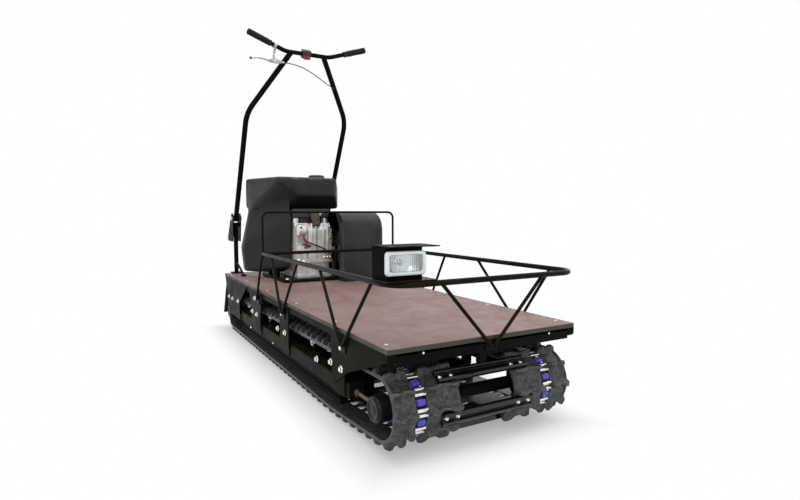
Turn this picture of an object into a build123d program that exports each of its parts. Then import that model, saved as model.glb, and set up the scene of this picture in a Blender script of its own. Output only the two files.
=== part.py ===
"""Tracked snow tug: a deck on a twin belt track, with a rear engine and a folding handlebar.

X points forward, Y to the machine's left and Z up. The ground is at Z = 0 and the origin lies under the
middle of the machine. Every place along the machine is given as a distance behind the deck's front edge
and turned into X by along(). Pieces that come in pairs are made on one side and mirrored.
"""

import math
import os
from collections import namedtuple

from build123d import *

os.makedirs("parts", exist_ok=True)

# Driving sizes, in millimetres.
deck_length = 2020.0
deck_width = 700.0
deck_top = 336.0
deck_thickness = 15.0
front_overhang = 24.0
rear_overhang = 105.0
side_plate = 4.0

belt_thickness = 8.0
belt_width = 215.0
belt_side_gap = 28.0
window_inset = 86.0
window_width = 36.0
lug_height = 25.0
wheel_radius = 87.0
sprocket_teeth = 10
idler_back = 100.0
idler_lift = 21.0
ground_back = 450.0
drive_inset = 62.0

rail_height = 507.0
rail_inset = 8.0
rail_tube = 17.0
strut_rod = 11.0
hoop_inset = 806.0
hoop_top = 698.0

engine_inset = 330.0
pivot_inset = 34.0
pivot_height = 660.0
handle_lean = 28.0
upright_inset = 64.0
upright_tube = 28.0
bar_tube = 22.0

# Places that follow from the driving sizes.
half_width = deck_width / 2
deck_front = (front_overhang + deck_length + rear_overhang) / 2 - front_overhang
deck_under = deck_top - deck_thickness
drive_height = wheel_radius + belt_thickness + lug_height
idler_height = drive_height + idler_lift
drive_back = deck_length - drive_inset
belt_outer_y = half_width - belt_side_gap
belt_inner_y = belt_outer_y - belt_width
window_row_y = belt_outer_y - window_inset
belt_radius = wheel_radius + belt_thickness
belt_middle = wheel_radius + belt_thickness / 2
lug_radius = belt_radius + lug_height
rail_y = half_width - rail_inset
hoop_back = deck_length - hoop_inset
engine_back = deck_length - engine_inset
pivot_back = deck_length - pivot_inset
upright_y = half_width - upright_inset


def along(back):
    """Give the X of a point that lies this far behind the deck's front edge."""
    return deck_front - back


def side_face(y):
    """Give the plane that looks along the machine's side, with sketch axes X and Z."""
    return Plane(origin=(0, y, 0), x_dir=(1, 0, 0), z_dir=(0, -1, 0))


def save(part, name):
    """Label a finished sub-part and write its step file."""
    part.label = name
    export_step(part, f"parts/{name}.step")


# The track's path: straight runs between three wheels of one radius, with round corners.
Run = namedtuple("Run", "start_x start_z step_x step_z normal length sweep")
wheel_centres = [
    (along(idler_back), idler_height),
    (along(ground_back), drive_height),
    (along(drive_back), drive_height),
]


def track_runs():
    """Work out each wheel's arc and the straight run that follows it, from the idler on backwards."""
    runs = []
    count = len(wheel_centres)
    for i in range(count):
        before, here, after = wheel_centres[i - 1], wheel_centres[i], wheel_centres[(i + 1) % count]
        arriving = math.atan2(here[1] - before[1], here[0] - before[0])
        leaving = math.atan2(after[1] - here[1], after[0] - here[0])
        sweep = (arriving - leaving) % (2 * math.pi)
        length = math.dist(here, after)
        step = ((after[0] - here[0]) / length, (after[1] - here[1]) / length)
        runs.append(Run(here[0], here[1], step[0], step[1], arriving + math.pi / 2, length, sweep))
    return runs


runs = track_runs()
path_length = sum(run.length + run.sweep * belt_middle for run in runs)
tooth_pitch = 2 * math.pi * belt_middle / sprocket_teeth
links = 3 * round(path_length / tooth_pitch / 3)
link_pitch = path_length / links


def track_point(distance, radius):
    """Give X, Z and the outward angle of a point on the track, at a radius from the wheel centres."""
    left = distance % path_length
    for run in runs:
        arc = run.sweep * belt_middle
        if left <= arc:
            angle = run.normal - left / belt_middle
            base = (run.start_x, run.start_z)
            break
        left -= arc
        if left <= run.length:
            angle = run.normal - run.sweep
            base = (run.start_x + run.step_x * left, run.start_z + run.step_z * left)
            break
        left -= run.length
    return base[0] + radius * math.cos(angle), base[1] + radius * math.sin(angle), angle


# Deck.
with BuildPart() as deck_board:
    with BuildSketch(Plane.XY.offset(deck_under)):
        with Locations((along(deck_length / 2), 0)):
            Rectangle(deck_length, deck_width)
    extrude(amount=deck_thickness)
save(deck_board.part, "deck_board")

side_tube = 25.0
side_tube_y = half_width - side_plate - side_tube / 2
with BuildPart() as deck_side_rails:
    with Locations((along(deck_length / 2), -side_tube_y, deck_under - side_tube / 2)):
        Box(deck_length, side_tube, side_tube)
    mirror(about=Plane.XZ)
save(deck_side_rails.part, "deck_side_rails")

# Cross members sit a little lower than the side rails, so a slit shows under the board.
member_count = 6
member_drop = 8.0
member_pitch = (deck_length - side_tube) / (member_count - 1)
member_height = deck_under - member_drop - side_tube / 2
nose_post_y = -26.0
nose_post_size = 26.0
nose_post_drop = 34.0
with BuildPart() as deck_cross_members:
    with Locations((along(deck_length / 2), 0, member_height)):
        with GridLocations(member_pitch, 1, member_count, 1):
            Box(side_tube, 2 * side_tube_y - side_tube, side_tube)
    with Locations((along(side_tube / 2), nose_post_y, member_height - (side_tube + nose_post_drop) / 2)):
        Box(side_tube - 5, nose_post_size, nose_post_drop)
save(deck_cross_members.part, "deck_cross_members")

# Places of the side brackets and of the tabs on the beams that they bolt to.
front_tab_back = 335.0
third_tab_inset = 696.0
rear_tab_inset = 236.0
middle_shift = 59.0
third_tab_back = deck_length - third_tab_inset
rear_tab_back = deck_length - rear_tab_inset
middle_tab_back = (front_tab_back + third_tab_back) / 2 + middle_shift
beam_size = 50.0
beam_lift = 48.0
beam_top = drive_height + beam_lift
plate_foot = beam_top - 18
plate_waist = plate_foot + 65

# Side plates: the front one runs out to the deck's nose, the others stand like trestles.
plate_nose = 21.0
with BuildPart() as front_side_plates:
    with BuildSketch(side_face(-half_width + side_plate)) as plate_outline:
        with BuildLine():
            Polyline(
                (along(front_tab_back + 54), deck_under),
                (along(front_tab_back + 45), plate_foot - 17),
                (along(front_tab_back - 72), plate_foot + 55),
                (along(0), deck_under - plate_nose),
                (along(0), deck_under),
                close=True,
            )
        make_face()
        fillet(plate_outline.vertices().group_by(Axis.Y)[0], 14)
    extrude(amount=side_plate)
    mirror(about=Plane.XZ)
save(front_side_plates.part, "front_side_plates")

Bracket = namedtuple("Bracket", "back top_front top_rear foot_front foot_rear")
brackets = [
    Bracket(middle_tab_back, 56, 57, 56, 57),
    Bracket(third_tab_back, 108, 133, 72, 86),
    Bracket(rear_tab_back, 288, 225, 119, 165),
]
with BuildPart() as side_brackets:
    for item in brackets:
        with BuildSketch(side_face(-half_width + side_plate)):
            with BuildLine():
                Polyline(
                    (along(item.back - item.top_front), deck_under),
                    (along(item.back - item.foot_front), plate_waist),
                    (along(item.back - item.foot_front), plate_foot),
                    (along(item.back + item.foot_rear), plate_foot),
                    (along(item.back + item.foot_rear), plate_waist),
                    (along(item.back + item.top_rear), deck_under),
                    close=True,
                )
            make_face()
        extrude(amount=side_plate)
    mirror(about=Plane.XZ)
save(side_brackets.part, "side_brackets")

# Side beams inside the track loop, with the upright tabs that the brackets bolt to.
beam_outer_y = half_width - 2 * side_plate
beam_inner_y = beam_outer_y - beam_size
beam_front_back = idler_back + 162
beam_rear_back = drive_back - 52
tab_rise = 70.0
Tab = namedtuple("Tab", "back width")
tabs = [
    Tab(front_tab_back, 90),
    Tab(middle_tab_back, 100),
    Tab(third_tab_back, 140),
    Tab(rear_tab_back + 5, 240),
]
beam_middle = (beam_front_back + beam_rear_back) / 2
tab_height = tab_rise + beam_size
with BuildPart() as side_beams:
    with Locations((along(beam_middle), beam_size / 2 - beam_outer_y, beam_top - beam_size / 2)):
        Box(beam_rear_back - beam_front_back, beam_size, beam_size)
    fillet(side_beams.edges().filter_by(Axis.X), 5)
    mirror(about=Plane.XZ)
save(side_beams.part, "side_beams")

# Return rollers hang under the upper run, on axles between tabs on the beams' inner sides.
return_radius = 22.0
return_axle = 8.0
return_width = 46.0
roller_tab_width = 26.0
roller_backs = (middle_tab_back - 183, third_tab_back - 41, rear_tab_back - 100)


def return_height(back):
    """Give the height of a return roller's middle, just under the belt's upper run."""
    fall = (idler_height - drive_height) / (drive_back - idler_back)
    return idler_height - (back - idler_back) * fall + wheel_radius - return_radius - 0.3


roller_tab_y = beam_inner_y - side_plate
with BuildPart() as beam_tabs:
    for tab in tabs:
        with Locations((along(tab.back), -beam_outer_y - side_plate / 2,
                        beam_top + tab_rise - tab_height / 2)):
            Box(tab.width, side_plate, tab_height)
    for back in roller_backs:
        with BuildSketch(side_face(-roller_tab_y)):
            with Locations((along(back), return_height(back))):
                Circle(roller_tab_width / 2)
            with Locations((along(back), beam_top - beam_size / 2)):
                Rectangle(roller_tab_width, beam_size - 10)
            make_hull()
            with Locations((along(back), return_height(back))):
                Circle(return_axle + 0.1, mode=Mode.SUBTRACT)
        extrude(amount=side_plate)
    mirror(about=Plane.XZ)
save(beam_tabs.part, "beam_tabs")

# Cross tubes tie the two beams, and slide rails hang from them onto the lower run.
cross_tube = 38.0
cross_tube_z = beam_top - beam_size / 2
cross_tube_count = 4
tube_front_back = ground_back + 30
tube_rear_back = drive_back - 138
tube_pitch = (tube_rear_back - tube_front_back) / (cross_tube_count - 1)
cross_tube_backs = [tube_front_back + i * tube_pitch for i in range(cross_tube_count)]
with BuildPart() as cross_tubes:
    for back in cross_tube_backs:
        with Locations((along(back), 0, cross_tube_z)):
            Cylinder(cross_tube / 2, 2 * beam_inner_y, rotation=(90, 0, 0))
save(cross_tubes.part, "cross_tubes")

slide_outer_y = belt_outer_y - 49
slide_inner_y = belt_inner_y + 55
slide_ys = (-slide_outer_y, -slide_inner_y, slide_inner_y, slide_outer_y)
slide_front_back = ground_back + 6
slide_rear_back = drive_back - 78
slide_middle = (slide_front_back + slide_rear_back) / 2
slide_length = slide_rear_back - slide_front_back
shoe_bottom = drive_height - wheel_radius + 0.3
shoe_height = 14.0
shoe_width = 32.0
channel_height = 50.0
channel_width = 24.0
hanger_width = 60.0
hanger_thickness = 6.0
with BuildPart() as slide_shoes:
    for y in slide_ys:
        with Locations((along(slide_middle), y, shoe_bottom + shoe_height / 2)):
            Box(slide_length, shoe_width, shoe_height)
save(slide_shoes.part, "slide_shoes")

channel_bottom = shoe_bottom + shoe_height
channel_top = channel_bottom + channel_height
with BuildPart() as slide_rails:
    for y in slide_ys:
        with Locations((along(slide_middle), y, channel_bottom + channel_height / 2)):
            Box(slide_length - 20, channel_width, channel_height)
save(slide_rails.part, "slide_rails")

hanger_top = cross_tube_z + cross_tube / 2 + 8
hanger_height = hanger_top - channel_top
with BuildPart() as slide_hangers:
    for y in slide_ys:
        with BuildSketch(side_face(y + hanger_thickness / 2)):
            for back in cross_tube_backs:
                with Locations((along(back), channel_top + hanger_height / 2)):
                    Rectangle(hanger_width, hanger_height)
                with Locations((along(back), cross_tube_z)):
                    Circle(cross_tube / 2 + 0.1, mode=Mode.SUBTRACT)
        extrude(amount=hanger_thickness)
save(slide_hangers.part, "slide_hangers")

# Track belts: two lugged strips joined by a bridge beside every window.
lug_base = 24.0
lug_tip = 7.0
bridge_length = 24.0


def lug_outline(skip):
    """Give the outline of a lugged strip, leaving out every lug whose number leaves 0 by skip."""
    points = []
    for link in range(links):
        middle = link * link_pitch
        if skip and link % skip == 0:
            points.append(track_point(middle, belt_radius)[:2])
        else:
            points.append(track_point(middle - lug_base / 2, belt_radius)[:2])
            points.append(track_point(middle - lug_tip / 2, lug_radius)[:2])
            points.append(track_point(middle + lug_tip / 2, lug_radius)[:2])
            points.append(track_point(middle + lug_base / 2, belt_radius)[:2])
    return points


def track_place(link, radius, y):
    """Give the plane of a piece on the track: its own X points outwards and its own Z to the right."""
    x, z, angle = track_point(link * link_pitch, radius)
    return Plane(origin=(x, y, z), x_dir=(math.cos(angle), 0, math.sin(angle)), z_dir=(0, -1, 0))


Strip = namedtuple("Strip", "from_y to_y skip")
strips = [
    Strip(belt_outer_y, window_row_y + window_width / 2, 0),
    Strip(window_row_y - window_width / 2, belt_inner_y, 3),
]
with BuildPart() as track_belt_right:
    for strip in strips:
        with BuildSketch(side_face(-strip.to_y)):
            with BuildLine():
                Polyline(*lug_outline(strip.skip), close=True)
            make_face()
            with BuildSketch(mode=Mode.SUBTRACT):
                with BuildLine():
                    Polyline(*wheel_centres, close=True)
                make_face()
                offset(amount=wheel_radius)
        extrude(amount=strip.from_y - strip.to_y)
    with Locations(*[track_place(link, belt_middle, -window_row_y) for link in range(links)]):
        Box(belt_thickness - 2, bridge_length, window_width)
save(track_belt_right.part, "track_belt_right")
with BuildPart() as track_belt_left:
    mirror(track_belt_right.part, about=Plane.XZ)
save(track_belt_left.part, "track_belt_left")

# Cross bars: a flat channel on every third link, bolted to both belts.
bar_overlap = 62.0
bar_base = 5.0
bar_rib = 9.0
bar_width = 36.0
bar_length = 2 * (belt_inner_y + bar_overlap)
bar_links = range(0, links, 3)
with BuildPart() as track_cross_bars:
    with Locations(*[track_place(link, belt_radius + bar_base / 2, 0) for link in bar_links]):
        Box(bar_base, bar_width, bar_length)
        with Locations((bar_base / 2 + bar_rib / 2, bar_width / 2 - 5, 0),
                       (bar_base / 2 + bar_rib / 2, 5 - bar_width / 2, 0)):
            Box(bar_rib, 10, bar_length)
save(track_cross_bars.part, "track_cross_bars")

# Axles, sprockets and hubs at both ends of the track.
axle_radius = 20.0
hub_radius = 40.0
hub_length = 48.0
hub_outer_y = half_width - 5
hub_inner_y = hub_outer_y - hub_length
sprocket_width = 28.0
tooth_length = 26.0
tooth_tip = belt_radius + 3
Wheel = namedtuple("Wheel", "name back height")
wheels = [Wheel("idler", idler_back, idler_height), Wheel("drive", drive_back, drive_height)]


def wheel_phase(back, height):
    """Give the turn, in degrees, that brings a sprocket's teeth into the belt's windows."""
    for link in range(links):
        x, z, angle = track_point((link + 0.5) * link_pitch, 0)
        if math.dist((x, z), (along(back), height)) < 0.01:
            return math.degrees(angle)
    return 0.0


for wheel in wheels:
    with BuildPart() as axle:
        with Locations((along(wheel.back), 0, wheel.height)):
            Cylinder(axle_radius, 2 * hub_inner_y, rotation=(90, 0, 0))
    save(axle.part, f"{wheel.name}_axle")
    turn = wheel_phase(wheel.back, wheel.height)
    with BuildPart() as sprockets:
        with BuildSketch(side_face(sprocket_width / 2 - window_row_y)):
            with Locations((along(wheel.back), wheel.height)):
                Circle(wheel_radius - 0.5)
                with PolarLocations((wheel_radius + tooth_tip) / 2 - 2, sprocket_teeth, turn):
                    Rectangle(tooth_tip - wheel_radius + 4, tooth_length)
                Circle(axle_radius + 0.1, mode=Mode.SUBTRACT)
                with PolarLocations(52, 5):
                    Circle(20, mode=Mode.SUBTRACT)
        extrude(amount=sprocket_width)
        mirror(about=Plane.XZ)
    save(sprockets.part, f"{wheel.name}_sprockets")

with BuildPart() as idler_hubs:
    with Locations((along(idler_back), -(hub_outer_y + hub_inner_y) / 2, idler_height)):
        Cylinder(hub_radius, hub_length, rotation=(90, 0, 0))
    fillet(idler_hubs.edges().filter_by(GeomType.CIRCLE).sort_by(Axis.Y)[0], 9)
    with Locations((along(idler_back + 30), -beam_outer_y + beam_size / 2, idler_height)):
        Box(36, 36, 40)
    mirror(about=Plane.XZ)
save(idler_hubs.part, "idler_hubs")

with BuildPart() as drive_hubs:
    with Locations((along(drive_back), -(hub_outer_y + hub_inner_y) / 2, drive_height)):
        Cylinder(hub_radius, hub_length, rotation=(90, 0, 0))
    fillet(drive_hubs.edges().filter_by(GeomType.CIRCLE).sort_by(Axis.Y)[0], 9)
    with Locations((along(drive_back - 34), -beam_outer_y + beam_size / 2, drive_height + 20)):
        Box(36, 36, 36)
    mirror(about=Plane.XZ)
save(drive_hubs.part, "drive_hubs")

tension_rod = 14.0
tension_start = idler_back + hub_radius + 8
with BuildPart() as belt_tensioners:
    with BuildSketch(Plane(origin=(along(beam_front_back), -beam_outer_y + beam_size / 2, idler_height),
                           z_dir=(1, 0, 0))):
        Circle(tension_rod / 2)
    extrude(amount=beam_front_back - tension_start)
    with BuildSketch(Plane(origin=(along(beam_front_back), -beam_outer_y + beam_size / 2, idler_height),
                           z_dir=(1, 0, 0))):
        RegularPolygon(15, 6)
    extrude(amount=16)
    mirror(about=Plane.XZ)
save(belt_tensioners.part, "belt_tensioners")

# Return rollers and their axles.
return_outer_y = roller_tab_y - 1 - return_width / 2
return_inner_y = belt_inner_y + 55
return_ys = (-return_outer_y, -return_inner_y, return_inner_y, return_outer_y)
with BuildPart() as return_axles:
    for back in roller_backs:
        with Locations((along(back), 0, return_height(back))):
            Cylinder(return_axle, 2 * (beam_inner_y + 6), rotation=(90, 0, 0))
save(return_axles.part, "return_axles")
with BuildPart() as return_rollers:
    for back in roller_backs:
        for y in return_ys:
            with BuildSketch(side_face(y + return_width / 2)):
                with Locations((along(back), return_height(back))):
                    Circle(return_radius)
                    Circle(return_axle + 0.1, mode=Mode.SUBTRACT)
            extrude(amount=return_width)
save(return_rollers.part, "return_rollers")

# Mud flaps behind the belts and the tow tongue between them.
flap_sheet = 5.0
flap_foot = 85.0
flap_fold = deck_under - 30
flap_back = deck_length + rear_overhang
flap_inner_y = 95.0
flap_outer_y = half_width - 10
with BuildPart() as mud_flaps:
    with BuildSketch(side_face(-flap_inner_y)):
        with BuildLine():
            Polyline(
                (along(deck_length), deck_under),
                (along(deck_length), flap_fold),
                (along(flap_back - flap_sheet), flap_foot),
                (along(flap_back), flap_foot),
                (along(deck_length + flap_sheet), flap_fold),
                (along(deck_length + flap_sheet), deck_under),
                close=True,
            )
        make_face()
    extrude(amount=flap_outer_y - flap_inner_y)
    mirror(about=Plane.XZ)
save(mud_flaps.part, "mud_flaps")

tongue_width = 60.0
tongue_thickness = 10.0
tongue_reach = 85.0
tow_pin_radius = 9.0
tow_pin_back = deck_length + 60
tongue_root = 90.0
with BuildPart() as tow_tongue:
    with BuildSketch(Plane.XY.offset(member_height - side_tube / 2 - tongue_thickness)):
        with Locations((along(deck_length + (tongue_reach - tongue_root) / 2), 0)):
            RectangleRounded(tongue_reach + tongue_root, tongue_width, 18)
        with Locations((along(tow_pin_back), 0)):
            Circle(tow_pin_radius, mode=Mode.SUBTRACT)
    extrude(amount=tongue_thickness)
save(tow_tongue.part, "tow_tongue")

# Guard rail round the deck, and the engine guard hoop behind it.
rail_front = deck_front + front_overhang - rail_tube / 2
rail_corner = 70.0
with BuildPart() as guard_rail_front:
    with BuildLine() as front_path:
        FilletPolyline(
            (rail_front - rail_corner - 20, -rail_y, rail_height),
            (rail_front, -rail_y, rail_height),
            (rail_front, rail_y, rail_height),
            (rail_front - rail_corner - 20, rail_y, rail_height),
            radius=rail_corner,
        )
    with BuildSketch(Plane(origin=front_path.line @ 0, z_dir=front_path.line % 0)):
        Circle(rail_tube / 2)
    sweep()
save(guard_rail_front.part, "guard_rail_front")

rail_start = rail_front - rail_corner - 20
rail_end = along(hoop_back) + strut_rod / 2
with BuildPart() as guard_rail_sides:
    with BuildSketch(Plane(origin=(rail_end, -rail_y, rail_height), z_dir=(1, 0, 0))):
        Circle(rail_tube / 2)
    extrude(amount=rail_start - rail_end)
    mirror(about=Plane.XZ)
save(guard_rail_sides.part, "guard_rail_sides")

hoop_corner = 30.0
with BuildPart() as engine_guard_hoop:
    with BuildLine() as hoop_path:
        FilletPolyline(
            (along(hoop_back), -rail_y, rail_height - rail_tube),
            (along(hoop_back), -rail_y, hoop_top),
            (along(hoop_back), rail_y, hoop_top),
            (along(hoop_back), rail_y, rail_height - rail_tube),
            radius=hoop_corner,
        )
    with BuildSketch(Plane(origin=hoop_path.line @ 0, z_dir=hoop_path.line % 0)):
        Circle(strut_rod / 2)
    sweep()
    with Locations((along(hoop_back), 0, rail_height)):
        Cylinder(rail_tube / 2 - 1, 2 * rail_y, rotation=(90, 0, 0))
    add(guard_rail_sides.part, mode=Mode.SUBTRACT)
save(engine_guard_hoop.part, "engine_guard_hoop")


def rod(start, end, diameter):
    """Make a round rod between two points."""
    line = Vector(*end) - Vector(*start)
    with BuildPart() as piece:
        with BuildSketch(Plane(origin=start, z_dir=line)):
            Circle(diameter / 2)
        extrude(amount=line.length)
    return piece.part


# Struts from the plates up to the rail: rods that stand on small bolted feet.
foot_sheet = 4.0
foot_width = 34.0
foot_rise = 44.0
foot_gap = 7.0
foot_height = deck_top - 50
foot_y = half_width + foot_sheet + strut_rod / 2
front_foot_back = front_tab_back - 51
middle_foot_back = middle_tab_back + 1
rear_foot_back = third_tab_back - 50
foot_backs = (front_foot_back, middle_foot_back, rear_foot_back)
Strut = namedtuple("Strut", "foot_back head_back")
struts = [
    Strut(front_foot_back - foot_gap, front_foot_back - 181),
    Strut(front_foot_back + foot_gap, front_foot_back + 219),
    Strut(middle_foot_back - foot_gap, middle_foot_back - 156),
    Strut(middle_foot_back + foot_gap, hoop_back - 136),
    Strut(rear_foot_back, hoop_back + 12),
]
with BuildPart() as strut_feet:
    for back in foot_backs:
        with Locations((along(back), -half_width - foot_sheet / 2, foot_height)):
            Box(foot_width, foot_sheet, foot_rise)
    mirror(about=Plane.XZ)
    with Locations((deck_front + foot_sheet / 2, 0, foot_height + foot_rise / 2)):
        Box(foot_sheet, foot_rise, foot_width)
save(strut_feet.part, "strut_feet")

with BuildPart() as rail_struts_right:
    for strut in struts:
        add(rod((along(strut.foot_back), -foot_y, foot_height),
                (along(strut.head_back), -rail_y, rail_height), strut_rod))
    add(guard_rail_sides.part, mode=Mode.SUBTRACT)
    add(guard_rail_front.part, mode=Mode.SUBTRACT)
    add(engine_guard_hoop.part, mode=Mode.SUBTRACT)
    add(strut_feet.part, mode=Mode.SUBTRACT)
save(rail_struts_right.part, "rail_struts_right")
with BuildPart() as rail_struts_left:
    mirror(rail_struts_right.part, about=Plane.XZ)
save(rail_struts_left.part, "rail_struts_left")

front_foot_x = deck_front + foot_sheet + strut_rod / 2
front_head_y = rail_y - 152
with BuildPart() as rail_struts_front:
    for side in (-1, 1):
        add(rod((front_foot_x, side * foot_gap, foot_height + foot_rise / 2),
                (rail_front, side * front_head_y, rail_height), strut_rod))
    add(guard_rail_front.part, mode=Mode.SUBTRACT)
    add(strut_feet.part, mode=Mode.SUBTRACT)
save(rail_struts_front.part, "rail_struts_front")

# Work lamp on the rail's right front corner.
lamp_seat = rail_height + rail_tube / 2
lamp_sheet = 3.0
lamp_front = deck_front - 12
lamp_depth = 84.0
lamp_width = 112.0
lamp_wall = 6.0
lamp_y = lamp_width / 2 - rail_y - 4
lamp_height = 88.0
lens_width = 124.0
lens_height = 66.0
lens_depth = 14.0
lens_corner = 10.0
lens_z = lamp_seat + lamp_sheet + 45
visor_overhang = 50.0
plate_overhang = 43.0
bowl_width = lamp_width - 2 * lamp_wall
bowl_height = lens_height - 2 * lamp_wall
bowl_depth = 40.0
with BuildPart() as lamp_bracket:
    with Locations((deck_front - 36, lamp_y + 8, lamp_seat + lamp_sheet / 2)):
        Box(110, lamp_width + plate_overhang, lamp_sheet)
save(lamp_bracket.part, "lamp_bracket")
with BuildPart() as lamp_housing:
    with Locations((lamp_front - lamp_depth / 2, lamp_y, lamp_seat + lamp_sheet + lamp_height / 2)):
        Box(lamp_depth, lamp_width, lamp_height)
    with Locations((lamp_front - bowl_depth / 2, lamp_y, lens_z)):
        Box(bowl_depth, bowl_width, bowl_height, mode=Mode.SUBTRACT)
    with Locations((lamp_front - lamp_depth / 2 + 8, lamp_y + 22,
                    lamp_seat + lamp_sheet * 1.5 + lamp_height)):
        Box(lamp_depth + 22, lamp_width + visor_overhang, lamp_sheet)
save(lamp_housing.part, "lamp_housing")
with BuildPart() as lamp_lens:
    with BuildSketch(Plane(origin=(lamp_front, lamp_y, lens_z), x_dir=(0, 1, 0), z_dir=(1, 0, 0))):
        RectangleRounded(lens_width, lens_height, lens_corner)
    extrude(amount=lens_depth)
    fillet(lamp_lens.faces().sort_by(Axis.X)[-1].edges(), 4)
save(lamp_lens.part, "lamp_lens")
with BuildPart() as lamp_reflector:
    with Locations((lamp_front - bowl_depth + 12.5, lamp_y, lens_z)):
        Box(25, bowl_width - 0.4, bowl_height - 0.4)
    with Locations((lamp_front + 42, lamp_y, lens_z)):
        Sphere(76, mode=Mode.SUBTRACT)
save(lamp_reflector.part, "lamp_reflector")

# Engine on its base, with the crankshaft across the machine. Heights are taken from the base's top.
base_height = 16.0
base_front = engine_back - 290
base_rear = engine_back + 170
base_right_y = -180.0
base_left_y = 200.0
base_top = deck_top + base_height
crank_front = engine_back - 235
crank_rear = engine_back + 50
crank_half = 98.0
sump_height = 78.0
sump_half = 88.0
crank_height = 288.0
crank_top = base_top + crank_height
shaft_height = base_top + 148
shaft_radius = 14.0
stand_width = 70.0
stand_sheet = 12.0
stand_y = crank_half + 8
jackshaft_back = engine_back - 240
with BuildPart() as engine_base:
    with Locations((along((base_front + base_rear) / 2), (base_right_y + base_left_y) / 2,
                    deck_top + base_height / 2)):
        Box(base_rear - base_front, base_left_y - base_right_y, base_height)
    fillet(engine_base.edges().filter_by(Axis.Z), 40)
    chamfer(engine_base.edges().group_by(Axis.Z)[-1], 6)
    with BuildSketch(side_face(stand_y + stand_sheet)):
        with Locations((along(jackshaft_back), (base_top + shaft_height) / 2)):
            Rectangle(stand_width, shaft_height - base_top)
        with Locations((along(jackshaft_back), shaft_height)):
            Circle(stand_width / 2)
            Circle(shaft_radius + 0.1, mode=Mode.SUBTRACT)
    extrude(amount=stand_sheet)
save(engine_base.part, "engine_base")

# Crankcase: a sump with feet, the case above it with two upright grooves, and a boss at each top corner.
groove_width = 9.0
groove_depth = 16.0
groove_ys = (-38.0, 14.0)
boss_radius = 17.0
boss_rise = 26.0
case_middle = (crank_front + crank_rear) / 2
case_length = crank_rear - crank_front
with BuildPart() as engine_crankcase:
    with Locations((along(case_middle), 0, base_top + sump_height / 2)):
        Box(case_length - 40, 2 * sump_half, sump_height)
    with Locations((along(case_middle), 0, base_top + 7)):
        Box(case_length, 2 * crank_half, 14)
    with Locations((along(case_middle), 0, base_top + (sump_height + crank_height) / 2)):
        Box(case_length, 2 * crank_half, crank_height - sump_height)
    chamfer(engine_crankcase.edges().filter_by(Axis.Y).group_by(Axis.Z)[-1], 34)
    with Locations((along(crank_front), 0, base_top + (sump_height + crank_height) / 2 + 24)):
        with Locations(*[(0, y, 0) for y in groove_ys]):
            Box(2 * groove_depth, groove_width, crank_height - sump_height, mode=Mode.SUBTRACT)
    with Locations(*[(along(crank_front + 60), side * (crank_half - boss_radius), crank_top)
                     for side in (-1, 1)]):
        Cylinder(boss_radius, boss_rise, align=(Align.CENTER, Align.CENTER, Align.MIN))
    with Locations((along(crank_front), -crank_half + 36, shaft_height)):
        Cylinder(24, 14, rotation=(0, 90, 0), align=(Align.CENTER, Align.CENTER, Align.MIN))
save(engine_crankcase.part, "engine_crankcase")

cylinder_lean = 45.0
cylinder_width = 130.0
cylinder_length = 150.0
cylinder_rise = 198.0
head_length = 34.0
fin_count = 4
fin_thickness = 7.0
fin_pitch = 13.0
fin_start = 88.0
with BuildPart() as engine_cylinder:
    with Locations(Plane(origin=(along(engine_back - 10), 0, base_top + cylinder_rise), x_dir=(0, 1, 0),
                         z_dir=(-math.sin(math.radians(cylinder_lean)), 0,
                                math.cos(math.radians(cylinder_lean))))):
        with Locations((0, 0, cylinder_length / 2)):
            Box(cylinder_width - 30, cylinder_width - 40, cylinder_length)
        with Locations(*[(0, 0, fin_start + fin * fin_pitch) for fin in range(fin_count)]):
            Box(cylinder_width, cylinder_width - 10, fin_thickness)
        with Locations((0, 0, cylinder_length)):
            Box(cylinder_width - 10, cylinder_width - 20, head_length)
    add(engine_crankcase.part, mode=Mode.SUBTRACT)
save(engine_cylinder.part, "engine_cylinder")

muffler_back = engine_back + 190
muffler_length = 120.0
muffler_width = 200.0
muffler_height = 130.0
muffler_z = base_top + 148
pipe_radius = 20.0
with BuildPart() as engine_muffler:
    with Locations((along(muffler_back), 0, muffler_z)):
        Box(muffler_length, muffler_width, muffler_height)
    fillet(engine_muffler.edges().filter_by(Axis.Y), 30)
    with Locations((along((crank_rear + muffler_back - muffler_length / 2) / 2), 0, muffler_z)):
        Cylinder(pipe_radius, muffler_back - muffler_length / 2 - crank_rear, rotation=(0, 90, 0))
save(engine_muffler.part, "engine_muffler")

starter_radius = 33.0
starter_length = 48.0
starter_y = -85.0
starter_z = base_top + 252
with BuildPart() as starter_motor:
    with Locations((along(crank_front - starter_radius), starter_y, starter_z)):
        Cylinder(starter_radius, starter_length, rotation=(90, 0, 0))
    fillet(starter_motor.edges().filter_by(GeomType.CIRCLE), 6)
save(starter_motor.part, "starter_motor")

starter_lead = 8.0
lead_x = along(crank_front - starter_radius)
lead_top = starter_z - starter_radius - 0.3
with BuildPart() as starter_cable:
    with BuildLine() as lead_path:
        FilletPolyline(
            (lead_x, starter_y + 13, lead_top),
            (lead_x, starter_y + 21, lead_top - 26),
            (lead_x, starter_y + 57, lead_top - 46),
            (lead_x, starter_y + 99, lead_top - 64),
            (lead_x, starter_y + 139, lead_top - 84),
            (lead_x, starter_y + 169, lead_top - 112),
            (lead_x, starter_y + 178, (lead_top - 112 + base_top) / 2),
            (lead_x, starter_y + 180, base_top + 0.3),
            radius=40,
        )
    with BuildSketch(Plane(origin=lead_path.line @ 0, z_dir=lead_path.line % 0)):
        Circle(starter_lead / 2)
    sweep()
save(starter_cable.part, "starter_cable")

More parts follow.
